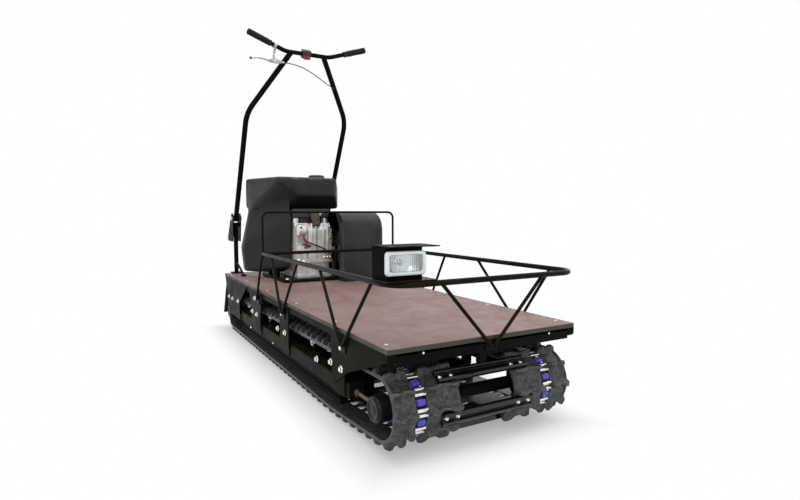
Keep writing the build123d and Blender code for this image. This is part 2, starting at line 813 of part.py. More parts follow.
# Fuel tank: blocks cut along flat facets. A facet is a point behind the crankshaft's line, a side place, a
# height over the engine base, and the way it faces: turned from ahead towards the left, and tilted up.
tank_side_y = upright_tube / 2 + 10 - upright_y
tank_inner_y = -crank_half - 6
tank_front = engine_back - 200
tank_rear = engine_back + 160
tank_top = base_top + 533
tank_under = base_top + 364
tank_left_y = 190.0
Facet = namedtuple("Facet", "behind y height turn tilt")
side_facets = [
    Facet(-190, -182, 480, -74, 8),
    Facet(110, tank_side_y, 480, -90, 0),
]
flank_facets = [
    Facet(-60, -206, 236, -59, 14),
    Facet(-60, -206, 236, -51, -4),
    Facet(70, tank_side_y - 43, 150, -90, 12.5),
    Facet(70, tank_side_y - 43, 150, -90, -6),
    Facet(70, -300, 10, -30, -70),
]
top_facets = side_facets + [
    Facet(-205, 0, 434, 0, 12),
    Facet(-205, 0, 434, 0, -52),
    Facet(-205, 0, 512, 0, 55),
    Facet(-130, -150, 430, -40, -40),
    Facet(-200, 142, 450, 62, 0),
    Facet(0, 168, 512, 90, 45),
]


def facet_block(front, rear, right_y, left_y, bottom, top, facets):
    """Make a block and cut it along each facet, keeping what lies behind it."""
    with BuildPart() as block:
        with Locations((along((front + rear) / 2), (right_y + left_y) / 2, (bottom + top) / 2)):
            Box(rear - front, left_y - right_y, top - bottom)
        for facet in facets:
            facing = Vector(1, 0, 0).rotate(Axis.Y, -facet.tilt).rotate(Axis.Z, facet.turn)
            place = (along(engine_back + facet.behind), facet.y, base_top + facet.height)
            split(bisect_by=Plane(origin=place, z_dir=facing), keep=Keep.BOTTOM)
    return block.part


flank_right_y = tank_side_y - 46
with BuildPart() as fuel_tank:
    add(facet_block(tank_front - 10, tank_rear - 40, flank_right_y, tank_inner_y, base_top + 16,
                    tank_top - 120, flank_facets))
    add(facet_block(tank_front - 10, tank_rear, tank_side_y, tank_left_y, tank_under, tank_top, top_facets))
save(fuel_tank.part, "fuel_tank")

# Air box on the crankcase, under the tank: a neck between the bosses and a wide lid over them.
air_back = crank_front + 110
air_length = 150.0
air_width = 200.0
neck_height = boss_rise + 2
with BuildPart() as air_box:
    with Locations((along(air_back), 0, crank_top + neck_height / 2)):
        Box(air_length - 40, 2 * (crank_half - 2 * boss_radius - 4), neck_height)
    with Locations((along(air_back), 0, (crank_top + neck_height + tank_under - 0.3) / 2)):
        Box(air_length, air_width, tank_under - 0.3 - crank_top - neck_height)
    fillet(air_box.edges().filter_by(Axis.Z), 8)
save(air_box.part, "air_box")

tank_foot_radius = 14.0
tank_foot_height = 60.0
tank_foot_y = -150.0
tank_foot_spots = (-60.0, 60.0)
with BuildPart() as tank_feet:
    for behind in tank_foot_spots:
        with Locations((along(engine_back + behind), tank_foot_y, base_top)):
            Cylinder(tank_foot_radius, tank_foot_height, align=(Align.CENTER, Align.CENTER, Align.MIN))
    add(fuel_tank.part, mode=Mode.SUBTRACT)
save(tank_feet.part, "tank_feet")
cap_radius = 45.0
cap_height = 24.0
cap_y = 105.0
with BuildPart() as fuel_cap:
    with Locations((along(engine_back), cap_y, tank_top + cap_height / 2)):
        Cylinder(cap_radius, cap_height)
    fillet(fuel_cap.edges().group_by(Axis.Z)[-1], 6)
save(fuel_cap.part, "fuel_cap")

# Belt drive cover: a sheet hood over the two pulleys, rounded over the front and over its outer edge.
cover_front = engine_back - 384
cover_rear = engine_back + 180
cover_top = base_top + 344
cover_inner_y = crank_half + 8
cover_outer_y = half_width - 14
cover_round = 95.0
cover_edge = 16.0
cover_sheet = 3.0
mouth_radius = 227.0
mouth_back = engine_back - 116
mouth_height = base_top + 188
front_lip = 60.0
rear_lip = 5.0


def cover_solid(inset):
    """Make the cover's solid form, drawn in by an inset on its front, rear, top and outer side."""
    with BuildPart() as form:
        with BuildSketch(side_face(cover_outer_y - inset)) as outline:
            with Locations((along((cover_front + cover_rear) / 2), (deck_top + cover_top - inset) / 2)):
                Rectangle(cover_rear - cover_front - 2 * inset, cover_top - deck_top - inset)
            fillet(outline.vertices().group_by(Axis.Y)[-1], cover_round - inset)
        extrude(amount=cover_outer_y - cover_inner_y)
        rim = form.faces().sort_by(Axis.Y)[-1].edges()
        fillet(rim.sort_by(Axis.Z)[1:], cover_edge - inset)
    return form.part


with BuildPart() as drive_cover:
    add(cover_solid(0))
    add(cover_solid(cover_sheet), mode=Mode.SUBTRACT)
    with Locations((along((cover_front + cover_rear) / 2), cover_inner_y, (deck_top + cover_top) / 2)):
        Box(2 * (cover_rear - cover_front), cover_outer_y, cover_top,
            align=(Align.CENTER, Align.MAX, Align.CENTER), mode=Mode.SUBTRACT)
    with BuildSketch(side_face(cover_inner_y + cover_sheet)) as flange:
        with Locations((along((cover_front + cover_rear) / 2), (deck_top + cover_top) / 2)):
            Rectangle(cover_rear - cover_front, cover_top - deck_top)
        fillet(flange.vertices().group_by(Axis.Y)[-1], cover_round)
        with Locations((along(mouth_back), mouth_height)):
            Circle(mouth_radius, mode=Mode.SUBTRACT)
        with Locations((along((cover_front + front_lip + cover_rear - rear_lip) / 2),
                        (deck_top + mouth_height) / 2)):
            Rectangle(cover_rear - rear_lip - cover_front - front_lip, mouth_height - deck_top + 1,
                      mode=Mode.SUBTRACT)
    extrude(amount=cover_sheet)
save(drive_cover.part, "drive_cover")

Pulley = namedtuple("Pulley", "name back radius")
pulleys = [Pulley("drive_pulley", engine_back, 95), Pulley("driven_pulley", jackshaft_back, 125)]
pulley_y = (cover_inner_y + cover_outer_y) / 2 - 16
sheave_gap = 24.0
sheave_height = 18.0
for item in pulleys:
    with BuildPart() as pulley:
        for side in (-1, 1):
            sheave_y = pulley_y + side * (sheave_gap + sheave_height) / 2
            with Locations((along(item.back), sheave_y, shaft_height)):
                Cone(item.radius, item.radius * 0.55, sheave_height, rotation=(side * 90, 0, 0))
        with Locations((along(item.back), pulley_y, shaft_height)):
            Cylinder(item.radius * 0.45, sheave_gap + 2 * sheave_height, rotation=(90, 0, 0))
        with Locations((along(item.back), (crank_half + pulley_y) / 2, shaft_height)):
            Cylinder(shaft_radius, pulley_y - crank_half, rotation=(90, 0, 0))
    save(pulley.part, item.name)

# Handlebar posts with the clevis plates that carry the folding handlebar. Each plate has a tail behind the
# post, and on the right a brace runs from the post's foot forward to the deck.
post_back = pivot_back + 14
post_tube = 25.0
post_top = pivot_height - 36
post_foot = 8.0
clevis_gap = 19.0
clevis_sheet = 5.0
clevis_radius = 30.0
plate_drop = 99.0
tail_reach = 100.0
tail_drop = 118.0
tail_radius = 16.0
brace_reach = 176.0
brace_rise = 70.0
brace_rod = 12.0
pin_radius = 6.0
with BuildPart() as handlebar_posts:
    with Locations((along(post_back - 6), -upright_y, deck_top + post_foot / 2)):
        Box(52, 60, post_foot)
    with Locations((along(post_back), -upright_y, (deck_top + post_top) / 2)):
        Cylinder(post_tube / 2, post_top - deck_top)
    with Locations((along(post_back), -upright_y, post_top)):
        Box(40, 2 * clevis_gap, 24)
    for side in (-1, 1):
        plate_y = -upright_y + side * (clevis_gap + clevis_sheet / 2) + clevis_sheet / 2
        with BuildSketch(side_face(plate_y)):
            with Locations((along(pivot_back), pivot_height)):
                Circle(clevis_radius)
            with Locations((along(pivot_back + tail_reach), pivot_height - tail_drop)):
                Circle(tail_radius)
            with Locations((along(post_back), post_top - plate_drop / 2)):
                Rectangle(44, plate_drop)
            make_hull()
            with Locations((along(pivot_back), pivot_height)):
                Circle(pin_radius + 0.1, mode=Mode.SUBTRACT)
        extrude(amount=clevis_sheet)
    mirror(about=Plane.XZ)
    add(rod((along(post_back), -upright_y, deck_top + brace_rise),
            (along(post_back - brace_reach), -upright_y, deck_top + brace_rod / 2), brace_rod))
    with Locations((along(post_back - brace_reach), -upright_y, deck_top + post_foot / 2)):
        Box(36, 26, post_foot)
save(handlebar_posts.part, "handlebar_posts")
with BuildPart() as hinge_bolts:
    with Locations((along(pivot_back), -upright_y, pivot_height)):
        Cylinder(pin_radius, 2 * clevis_gap + 2 * clevis_sheet + 16, rotation=(90, 0, 0))
    mirror(about=Plane.XZ)
save(hinge_bolts.part, "hinge_bolts")

# Folding handlebar, drawn in the plane that leans forward from the pivot: Y across, T up the lean.
lean = math.radians(handle_lean)
lean_plane = Plane(
    origin=(along(pivot_back), 0, pivot_height),
    x_dir=(0, 1, 0),
    z_dir=(math.cos(lean), 0, -math.sin(lean)),
)
bend_t = 640.0
bar_t = 985.0
bar_end_t = 1053.0
bar_end_y = upright_y + 35
bar_knee_y = 120.0
joint_y = 89.0
with BuildPart() as handlebar:
    with BuildLine(lean_plane) as bar_path:
        FilletPolyline((-bar_end_y, bar_end_t), (-bar_knee_y, bar_t), (bar_knee_y, bar_t),
                       (bar_end_y, bar_end_t), radius=150)
    with BuildSketch(Plane(origin=bar_path.line @ 0, z_dir=bar_path.line % 0)):
        Circle(bar_tube / 2)
    sweep()
save(handlebar.part, "handlebar")

eye_radius = 18.0
with BuildPart() as upright_right:
    with BuildLine(lean_plane) as upright_path:
        FilletPolyline((-upright_y, 0), (-upright_y, bend_t), (-joint_y, bar_t), radius=220)
    with BuildSketch(Plane(origin=upright_path.line @ 0, z_dir=upright_path.line % 0)):
        Circle(upright_tube / 2)
    sweep()
    with Locations((along(pivot_back), -upright_y, pivot_height)):
        Cylinder(eye_radius, upright_tube, rotation=(90, 0, 0))
        Cylinder(pin_radius + 0.2, upright_tube + 20, rotation=(90, 0, 0), mode=Mode.SUBTRACT)
    add(handlebar.part, mode=Mode.SUBTRACT)
save(upright_right.part, "upright_right")
grommet_t = 824.0
grommet_y = upright_y - (upright_y - joint_y) * (grommet_t - bend_t) / (bar_t - bend_t)
grommet_radius = 8.0
cable_front = 18.0
with BuildPart() as upright_left:
    mirror(upright_right.part, about=Plane.XZ)
    with BuildSketch(lean_plane):
        with Locations((grommet_y, grommet_t)):
            Circle(grommet_radius)
    extrude(amount=cable_front + grommet_radius)
save(upright_left.part, "upright_left")

grip_length = 128.0
grip_radius = 16.0
with BuildPart() as grips:
    with BuildSketch(Plane(origin=bar_path.line @ 0, z_dir=bar_path.line % 0)):
        Circle(grip_radius)
        Circle(bar_tube / 2 + 0.1, mode=Mode.SUBTRACT)
    extrude(amount=grip_length)
    mirror(about=Plane.XZ)
save(grips.part, "grips")

# Hand lever on the right of the bar, with its ball tip and the cable that runs to the left upright.
clamp_width = 20.0
clamp_radius = 17.0
clamp_from_end = grip_length + 12
clamp_at = clamp_from_end / bar_path.wire().length
lever_t = 931.0
lever_y = 141 - bar_end_y
lever_tip_y = 31 - bar_end_y
lever_end_y = 197 - bar_end_y
lever_sheet = 8.0
with BuildPart() as hand_lever:
    with BuildSketch(Plane(origin=bar_path.line @ clamp_at, z_dir=bar_path.line % clamp_at)):
        Circle(clamp_radius)
    extrude(amount=clamp_width)
    with BuildSketch(lean_plane.offset(cable_front - lever_sheet / 2)):
        with BuildLine():
            Polyline((lever_y - 12, bar_t + 20), (lever_y + 12, bar_t + 12), (lever_end_y, lever_t + 12),
                     (lever_end_y, lever_t - 10), (lever_y, lever_t - 8), (lever_tip_y, lever_t - 4),
                     (lever_tip_y, lever_t + 4), (lever_y - 10, lever_t + 12), close=True)
        make_face()
    extrude(amount=lever_sheet)
    with BuildSketch(Plane(origin=bar_path.line @ 0, z_dir=bar_path.line % 0)):
        Circle(bar_tube / 2 + 0.1)
    extrude(amount=clamp_from_end + 2 * clamp_width, mode=Mode.SUBTRACT)
save(hand_lever.part, "hand_lever")
with BuildPart() as lever_tip:
    with Locations(lean_plane.location * Location((lever_tip_y - 7, lever_t, cable_front))):
        Sphere(7)
save(lever_tip.part, "lever_tip")

cable_size = 5.0
with BuildPart() as control_cable:
    with BuildLine(lean_plane.offset(cable_front)) as cable_path:
        FilletPolyline(
            (lever_end_y + 0.3, lever_t),
            (lever_end_y + 50, lever_t - 2),
            (lever_end_y + 100, lever_t - 12),
            (lever_end_y + 150, lever_t - 31),
            (lever_end_y + 200, lever_t - 56),
            (lever_end_y + 250, lever_t - 82),
            (grommet_y - grommet_radius + 1, grommet_t + 3),
            radius=60,
        )
    with BuildSketch(Plane(origin=cable_path.line @ 0, z_dir=cable_path.line % 0)):
        Circle(cable_size / 2)
    sweep()
    add(upright_left.part, mode=Mode.SUBTRACT)
save(control_cable.part, "control_cable")

# Stop switch at the middle of the bar.
switch_width = 44.0
switch_height = 42.0
switch_depth = 36.0
switch_y = -9.0
with BuildPart() as stop_switch:
    with Locations(lean_plane.location * Location((switch_y, bar_t, 0))):
        Box(switch_width, switch_height, switch_depth)
        Cylinder(bar_tube / 2 + 0.1, switch_width, rotation=(0, 90, 0), mode=Mode.SUBTRACT)
    fillet(stop_switch.edges().filter_by(Axis.Y), 5)
save(stop_switch.part, "stop_switch")
with BuildPart() as stop_button:
    with Locations(lean_plane.location * Location((switch_y, bar_t - 8, switch_depth / 2 + 6))):
        Cylinder(12, 12)
    fillet(stop_button.edges().filter_by(GeomType.CIRCLE), 2)
save(stop_button.part, "stop_button")
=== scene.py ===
"""Looks of the tracked snow tug: its finishes, and the small pieces that dress its solids."""

import logging
import math
from dataclasses import dataclass, field
from enum import Enum
from typing import Sequence

import bmesh
import bpy
from mathutils import Matrix, Vector


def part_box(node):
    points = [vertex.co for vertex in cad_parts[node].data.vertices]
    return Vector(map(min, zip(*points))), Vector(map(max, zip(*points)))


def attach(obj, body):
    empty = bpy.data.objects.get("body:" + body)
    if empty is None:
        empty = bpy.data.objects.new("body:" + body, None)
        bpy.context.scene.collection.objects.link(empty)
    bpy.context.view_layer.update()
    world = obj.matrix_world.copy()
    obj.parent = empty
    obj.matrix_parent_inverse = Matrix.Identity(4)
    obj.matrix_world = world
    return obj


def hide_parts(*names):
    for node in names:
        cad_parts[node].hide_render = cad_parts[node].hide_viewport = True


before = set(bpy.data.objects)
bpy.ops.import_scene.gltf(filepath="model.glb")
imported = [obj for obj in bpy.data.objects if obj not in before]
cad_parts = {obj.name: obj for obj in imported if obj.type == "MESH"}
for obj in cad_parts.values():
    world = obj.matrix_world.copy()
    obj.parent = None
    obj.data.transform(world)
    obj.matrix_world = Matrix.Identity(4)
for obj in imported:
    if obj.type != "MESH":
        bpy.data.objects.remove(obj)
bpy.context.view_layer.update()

log = logging.getLogger("snow_tug")

TURN = 2 * math.pi

Colour = tuple[float, float, float]
Point = tuple[float, float, float]
Place = Sequence[float]
Rows = tuple[tuple[float, ...], ...]
Socket = bpy.types.NodeSocket


class Body(Enum):
    """The two bodies of the machine."""

    CHASSIS = "chassis"
    HANDLEBAR = "handlebar"


class Relief(Enum):
    """The fine relief of a finish."""

    PAINT = "paint"
    CAST = "cast"
    MOULDED = "moulded"
    RUBBER = "rubber"
    BRUSHED = "brushed"


class Tree:
    """A material's node tree, with short ways to add and join its nodes."""

    def __init__(self, name: str) -> None:
        """Make a new material with an empty tree and its output.

        Args:
            name: The material's name.
        """
        self.material = bpy.data.materials.new(name)
        self.material.use_nodes = True
        self.nodes = self.material.node_tree.nodes
        self.links = self.material.node_tree.links
        self.nodes.clear()
        self.output = self.nodes.new("ShaderNodeOutputMaterial")
        self.place = self.nodes.new("ShaderNodeTexCoord").outputs["Object"]

    def node(self, kind: str, **settings: object) -> bpy.types.Node:
        """Add a node and set its properties.

        Args:
            kind: The node's type without its ShaderNode start.
            settings: Properties of the node to set.

        Returns:
            The new node.
        """
        made = self.nodes.new("ShaderNode" + kind)
        for key, value in settings.items():
            setattr(made, key, value)
        return made

    def feed(self, socket: Socket, value: object) -> None:
        """Join a socket to another one, or set its own value.

        Args:
            socket: The input to fill.
            value: An output socket, a number, a colour or a vector.
        """
        if isinstance(value, Socket):
            self.links.new(value, socket)
        elif isinstance(value, tuple) and socket.type == "RGBA":
            socket.default_value = (*value[:3], 1.0)
        else:
            socket.default_value = value

    def noise(self, scale: float, detail: float = 4.0, stretch: Point = (1, 1, 1),
              rough: float = 0.55) -> Socket:
        """Add a noise texture in the object's own space.

        Args:
            scale: Features per metre.
            detail: Octaves of the noise.
            stretch: How much each axis is scaled first.
            rough: Share of the fine octaves.

        Returns:
            The noise value, from 0 to 1.
        """
        mapping = self.node("Mapping")
        self.feed(mapping.inputs["Vector"], self.place)
        mapping.inputs["Scale"].default_value = stretch
        made = self.node("TexNoise")
        self.links.new(mapping.outputs[0], made.inputs["Vector"])
        made.inputs["Scale"].default_value = scale
        made.inputs["Detail"].default_value = detail
        made.inputs["Roughness"].default_value = rough
        return made.outputs["Fac"]

    def span(self, value: Socket, low: float, high: float, out_low: float = 0.0,
             out_high: float = 1.0) -> Socket:
        """Map a range of values onto another, with its ends held.

        Args:
            value: The value to map.
            low: Start of the range read.
            high: End of the range read.
            out_low: What the start becomes.
            out_high: What the end becomes.

        Returns:
            The mapped value.
        """
        made = self.node("MapRange", interpolation_type="SMOOTHSTEP")
        self.feed(made.inputs["Value"], value)
        ends = {"From Min": low, "From Max": high, "To Min": out_low, "To Max": out_high}
        for key, number in ends.items():
            made.inputs[key].default_value = number
        return made.outputs["Result"]

    def sum(self, kind: str, first: object, second: object = 0.0) -> Socket:
        """Add a maths node.

        Args:
            kind: The operation, such as MULTIPLY.
            first: The first value.
            second: The second value.

        Returns:
            The result.
        """
        made = self.node("Math", operation=kind)
        self.feed(made.inputs[0], first)
        self.feed(made.inputs[1], second)
        return made.outputs[0]

    def mix(self, share: object, first: object, second: object) -> Socket:
        """Mix two colours.

        Args:
            share: How much of the second colour shows.
            first: The colour at 0.
            second: The colour at 1.

        Returns:
            The mixed colour.
        """
        made = self.node("Mix", data_type="RGBA")
        self.feed(made.inputs[0], share)
        self.feed(made.inputs[6], first)
        self.feed(made.inputs[7], second)
        return made.outputs[2]

    def edges(self, radius: float) -> tuple[Socket, Socket]:
        """Find the piece's edges with a bevel node.

        Args:
            radius: How far the rounding reaches, in metres.

        Returns:
            The rounded normal, and a value that is above 0 along edges.
        """
        bevel = self.node("Bevel", samples=4)
        bevel.inputs["Radius"].default_value = radius
        plain = self.node("NewGeometry")
        dot = self.node("VectorMath", operation="DOT_PRODUCT")
        self.links.new(bevel.outputs[0], dot.inputs[0])
        self.links.new(plain.outputs["Normal"], dot.inputs[1])
        return bevel.outputs[0], self.sum("SUBTRACT", 1.0, dot.outputs["Value"])

    def coordinate(self, axis: str) -> Socket:
        """Give the object's own X, Y or Z."""
        split = self.node("SeparateXYZ")
        self.links.new(self.place, split.inputs[0])
        return split.outputs[axis]

    def upward(self) -> Socket:
        """Give how far the surface faces up, from -1 to 1."""
        split = self.node("SeparateXYZ")
        self.links.new(self.node("NewGeometry").outputs["Normal"], split.inputs[0])
        return split.outputs["Z"]

    def bump(self, height: Socket, depth: float, normal: Socket | None = None,
             strength: float = 1.0) -> Socket:
        """Add a bump node.

        Args:
            height: The relief's height, from 0 to 1.
            depth: The relief's depth in metres.
            normal: The normal that the bump starts from.
            strength: How much of the bump shows.

        Returns:
            The bumped normal.
        """
        made = self.node("Bump")
        made.inputs["Strength"].default_value = strength
        made.inputs["Distance"].default_value = depth
        self.feed(made.inputs["Height"], height)
        if normal is not None:
            self.feed(made.inputs["Normal"], normal)
        return made.outputs[0]

    def shader(self, **sockets: object) -> None:
        """Add the surface shader, fill its sockets and join it to the output.

        Args:
            sockets: Socket names, with _ for a space, and their values.
        """
        made = self.node("BsdfPrincipled")
        for key, value in sockets.items():
            self.feed(made.inputs[key.replace("_", " ")], value)
        self.links.new(made.outputs[0], self.output.inputs["Surface"])


class Surface:
    """A finish that builds its material once, and hands out the same one after that."""

    name: str

    def material(self) -> bpy.types.Material:
        """Find the finish's material, or build it.

        Returns:
            The material.
        """
        known = bpy.data.materials.get(self.name)
        if known is None:
            tree = Tree(self.name)
            self.paint(tree)
            known = tree.material
        return known

    def paint(self, tree: Tree) -> None:
        """Fill the material's node tree, in the way of each kind of finish."""
        raise NotImplementedError


@dataclass(frozen=True)
class Finish(Surface):
    """A painted, moulded, cast or plated finish with drift, dust on top (on the tank a painted
    highlight), worn edges and fine relief.
    """

    name: str
    colour: Colour
    second: Colour
    rough: float = 0.5
    rough_drift: float = 0.1
    metal: float = 0.0
    drift_scale: float = 9.0
    relief: Relief = Relief.PAINT
    relief_scale: float = 400.0
    relief_depth: float = 0.0003
    edge: float = 0.0015
    wear: Colour | None = None
    wear_amount: float = 0.5
    wear_metal: float = 0.0
    dust_and_highlight: Colour | None = None
    dust_and_highlight_amount: float = 0.3
    specular: float = 0.5

    def relief_height(self, tree: Tree) -> Socket:
        """Give the height of the finish's fine relief.

        Args:
            tree: The material's node tree.

        Returns:
            The relief's height, from 0 to 1.
        """
        if self.relief is Relief.BRUSHED:
            return tree.noise(self.relief_scale, 3, (1, 0.04, 1), 0.6)
        if self.relief is Relief.CAST:
            return tree.noise(self.relief_scale, 6, (1, 1, 1), 0.75)
        if self.relief is Relief.MOULDED:
            cells = tree.node("TexVoronoi", feature="SMOOTH_F1")
            tree.feed(cells.inputs["Vector"], tree.place)
            cells.inputs["Scale"].default_value = self.relief_scale
            return cells.outputs["Distance"]
        if self.relief is Relief.RUBBER:
            return tree.sum("ADD", tree.noise(self.relief_scale, 5, (1, 1, 1), 0.7),
                            tree.noise(self.relief_scale / 8, 3))
        return tree.noise(self.relief_scale, 2, (1, 1, 1), 0.5)

    def paint(self, tree: Tree) -> None:
        """Lay the drifting colour, then dust on upward faces (on the tank a painted highlight),
        worn edges and the fine relief.

        Args:
            tree: The material's node tree.
        """
        drift = tree.span(tree.noise(self.drift_scale, 6, rough=0.65), 0.35, 0.68)
        colour = tree.mix(drift, self.colour, self.second)
        rough = tree.span(tree.noise(self.drift_scale * 3.7, 5), 0.3, 0.7,
                          self.rough - self.rough_drift, self.rough + self.rough_drift)
        normal, worn = tree.edges(self.edge)
        metal: object = self.metal
        # Lighter film on upward faces: real dust, and on the tank also a painted highlight on its
        # top edges.
        if self.dust_and_highlight is not None:
            lying = tree.span(tree.upward(), 0.2, 0.95)
            patch = tree.span(tree.noise(23, 8, rough=0.7), 0.38, 0.72)
            film = tree.sum("MULTIPLY", tree.sum("MULTIPLY", lying, patch), self.dust_and_highlight_amount)
            colour = tree.mix(film, colour, self.dust_and_highlight)
        if self.wear is not None:
            bare = tree.span(worn, 0.02, 0.22)
            rubbed = tree.span(tree.noise(60, 6, rough=0.7), 0.42, 0.62)
            bare = tree.sum("MULTIPLY", tree.sum("MULTIPLY", bare, rubbed), self.wear_amount)
            colour = tree.mix(bare, colour, self.wear)
            if self.wear_metal > self.metal:
                metal = tree.sum("MULTIPLY", bare, self.wear_metal)
        normal = tree.bump(self.relief_height(tree), self.relief_depth, normal)
        tree.shader(Base_Color=colour, Roughness=rough, Metallic=metal, Normal=normal,
                    Specular_IOR_Level=self.specular)


@dataclass(frozen=True)
class DeckFilm(Surface):
    """Brown film-faced plywood: a faintly mottled, scuffed film with dark layered edges."""

    name: str = "deck_film_ply"
    film: Colour = (0.250, 0.146, 0.130)
    pale: Colour = (0.345, 0.232, 0.212)
    edge_dark: Colour = (0.017, 0.014, 0.010)
    edge_light: Colour = (0.046, 0.037, 0.027)
    speck: Colour = (0.155, 0.088, 0.078)
    scuff: Colour = (0.40, 0.30, 0.275)
    rubbed: Colour = (0.30, 0.22, 0.17)
    layer: float = 0.0024

    def paint(self, tree: Tree) -> None:
        """Lay the mottled film with its pressed mesh on top, and the layers on the edges.

        Args:
            tree: The material's node tree.
        """
        cloud = tree.span(tree.noise(3.5, 8, (1, 1.6, 1), 0.7), 0.32, 0.7)
        speckle = tree.span(tree.noise(330, 4, (1, 1, 1), 0.7), 0.42, 0.68, 0.0, 0.55)
        streak = tree.span(tree.noise(30, 6, (0.12, 1.6, 1), 0.7), 0.5, 0.78, 0.0, 0.5)
        top = tree.mix(cloud, self.film, self.pale)
        top = tree.mix(speckle, top, self.speck)
        top = tree.mix(streak, top, self.scuff)
        wave = tree.sum("SINE", tree.sum("MULTIPLY", tree.coordinate("Z"), TURN / self.layer))
        grain = tree.noise(90, 4, (0.25, 0.25, 6), 0.7)
        layers = tree.span(tree.sum("ADD", wave, tree.sum("MULTIPLY", grain, 1.6)), -0.2, 1.9)
        side = tree.mix(layers, self.edge_dark, self.edge_light)
        facing = tree.span(tree.upward(), 0.4, 0.7)
        colour = tree.mix(facing, side, top)
        normal, worn = tree.edges(0.0015)
        rub = tree.sum("MULTIPLY", tree.span(worn, 0.02, 0.2),
                       tree.span(tree.noise(45, 6, rough=0.7), 0.45, 0.65))
        colour = tree.mix(tree.sum("MULTIPLY", rub, 0.5), colour, self.rubbed)
        mesh = tree.node("TexBrick", offset=0.0)
        tree.links.new(tree.place, mesh.inputs["Vector"])
        for key, value in (("Scale", 130.0), ("Mortar Size", 0.02), ("Mortar Smooth", 0.4),
                           ("Brick Width", 0.5), ("Row Height", 0.5)):
            mesh.inputs[key].default_value = value
        normal = tree.bump(mesh.outputs["Fac"], 0.00035, normal, 0.5)
        normal = tree.bump(tree.noise(700, 3), 0.0002, normal, 0.6)
        rough = tree.span(tree.noise(18, 6), 0.3, 0.7, 0.42, 0.66)
        tree.shader(Base_Color=colour, Roughness=rough, Normal=normal)


@dataclass(frozen=True)
class LampGlass(Surface):
    """Clear ribbed glass of the work lamp."""

    name: str = "lamp_glass"
    tint: Colour = (0.93, 0.96, 0.97)
    ribs: float = 900.0

    def paint(self, tree: Tree) -> None:
        """Make the ribbed, faintly smeared glass.

        Args:
            tree: The material's node tree.
        """
        rib = tree.sum("SINE", tree.sum("MULTIPLY", tree.coordinate("Y"), self.ribs))
        normal = tree.bump(tree.sum("ADD", rib, tree.noise(300, 2)), 0.0004)
        smear = tree.span(tree.noise(60, 5), 0.4, 0.75, 0.03, 0.16)
        tree.shader(Base_Color=self.tint, Roughness=smear, Normal=normal,
                    Transmission_Weight=0.85, IOR=1.5)


BLACK_PAINT = Finish(
    "frame_black_paint", (0.0042, 0.0040, 0.0032), (0.0066, 0.0062, 0.0050), rough=0.42,
    rough_drift=0.06, drift_scale=5.0, relief_scale=520, relief_depth=0.00015,
    wear=(0.13, 0.115, 0.09), wear_amount=0.20, wear_metal=0.6, dust_and_highlight=(0.030, 0.026, 0.020),
    dust_and_highlight_amount=0.25, specular=0.03)
BAR_BLACK = Finish(
    "cross_bar_black", (0.0040, 0.0040, 0.0040), (0.0064, 0.0062, 0.0058), rough=0.18,
    rough_drift=0.05, drift_scale=20.0, relief_scale=520, relief_depth=0.00003,
    wear=(0.20, 0.20, 0.19), wear_amount=0.30, wear_metal=0.8, specular=0.45)
OLIVE_PAINT = Finish(
    "frame_olive_black", (0.0056, 0.0051, 0.0029), (0.0084, 0.0075, 0.0045), rough=0.40,
    rough_drift=0.06, drift_scale=4.0, relief_scale=480, relief_depth=0.00015,
    wear=(0.14, 0.125, 0.095), wear_amount=0.30, wear_metal=0.6, dust_and_highlight=(0.042, 0.036, 0.027),
    dust_and_highlight_amount=0.25, specular=0.02)
RAIL_PAINT = Finish(
    "rail_brown_black", (0.0062, 0.0056, 0.0042), (0.0100, 0.0088, 0.0068), rough=0.30,
    rough_drift=0.05, drift_scale=5.0, relief_scale=500, relief_depth=0.0001,
    wear=(0.15, 0.13, 0.10), wear_amount=0.2, wear_metal=0.6, dust_and_highlight=(0.034, 0.028, 0.019),
    specular=0.05)
ZINC = Finish(
    "bright_zinc", (0.88, 0.88, 0.87), (0.70, 0.70, 0.68), rough=0.20, rough_drift=0.08, metal=1.0,
    drift_scale=40, relief=Relief.CAST, relief_scale=900, relief_depth=0.00012, edge=0.0008,
    dust_and_highlight=(0.16, 0.14, 0.11), dust_and_highlight_amount=0.1)
GOLD_ZINC = Finish(
    "yellow_zinc", (0.150, 0.130, 0.085), (0.095, 0.084, 0.058), rough=0.36, rough_drift=0.12,
    metal=1.0, drift_scale=30, relief=Relief.CAST, relief_scale=900, relief_depth=0.00012,
    edge=0.0008, dust_and_highlight=(0.10, 0.085, 0.06), dust_and_highlight_amount=0.4)
CLIP_STEEL = Finish(
    "belt_clip_steel", (0.88, 0.87, 0.84), (0.62, 0.61, 0.58), rough=0.22, rough_drift=0.08,
    metal=1.0, drift_scale=60, relief=Relief.BRUSHED, relief_scale=700, relief_depth=0.0001,
    edge=0.0006, dust_and_highlight=(0.16, 0.13, 0.10), dust_and_highlight_amount=0.15)
RUBBER = Finish(
    "tread_rubber", (0.0280, 0.0285, 0.0300), (0.0900, 0.0905, 0.0930), rough=0.33,
    rough_drift=0.12, drift_scale=70, relief=Relief.RUBBER, relief_scale=420, relief_depth=0.00012,
    edge=0.0022, wear=(0.150, 0.128, 0.098), wear_amount=0.9, dust_and_highlight=(0.060, 0.055, 0.048),
    dust_and_highlight_amount=0.35, specular=0.26)
WORN_RUBBER = Finish(
    "tread_rubber_worn", (0.052, 0.042, 0.031), (0.150, 0.124, 0.092), rough=0.60, rough_drift=0.12,
    drift_scale=90, relief=Relief.RUBBER, relief_scale=420, relief_depth=0.0006,
    dust_and_highlight=(0.110, 0.096, 0.074), dust_and_highlight_amount=0.4, specular=0.25)
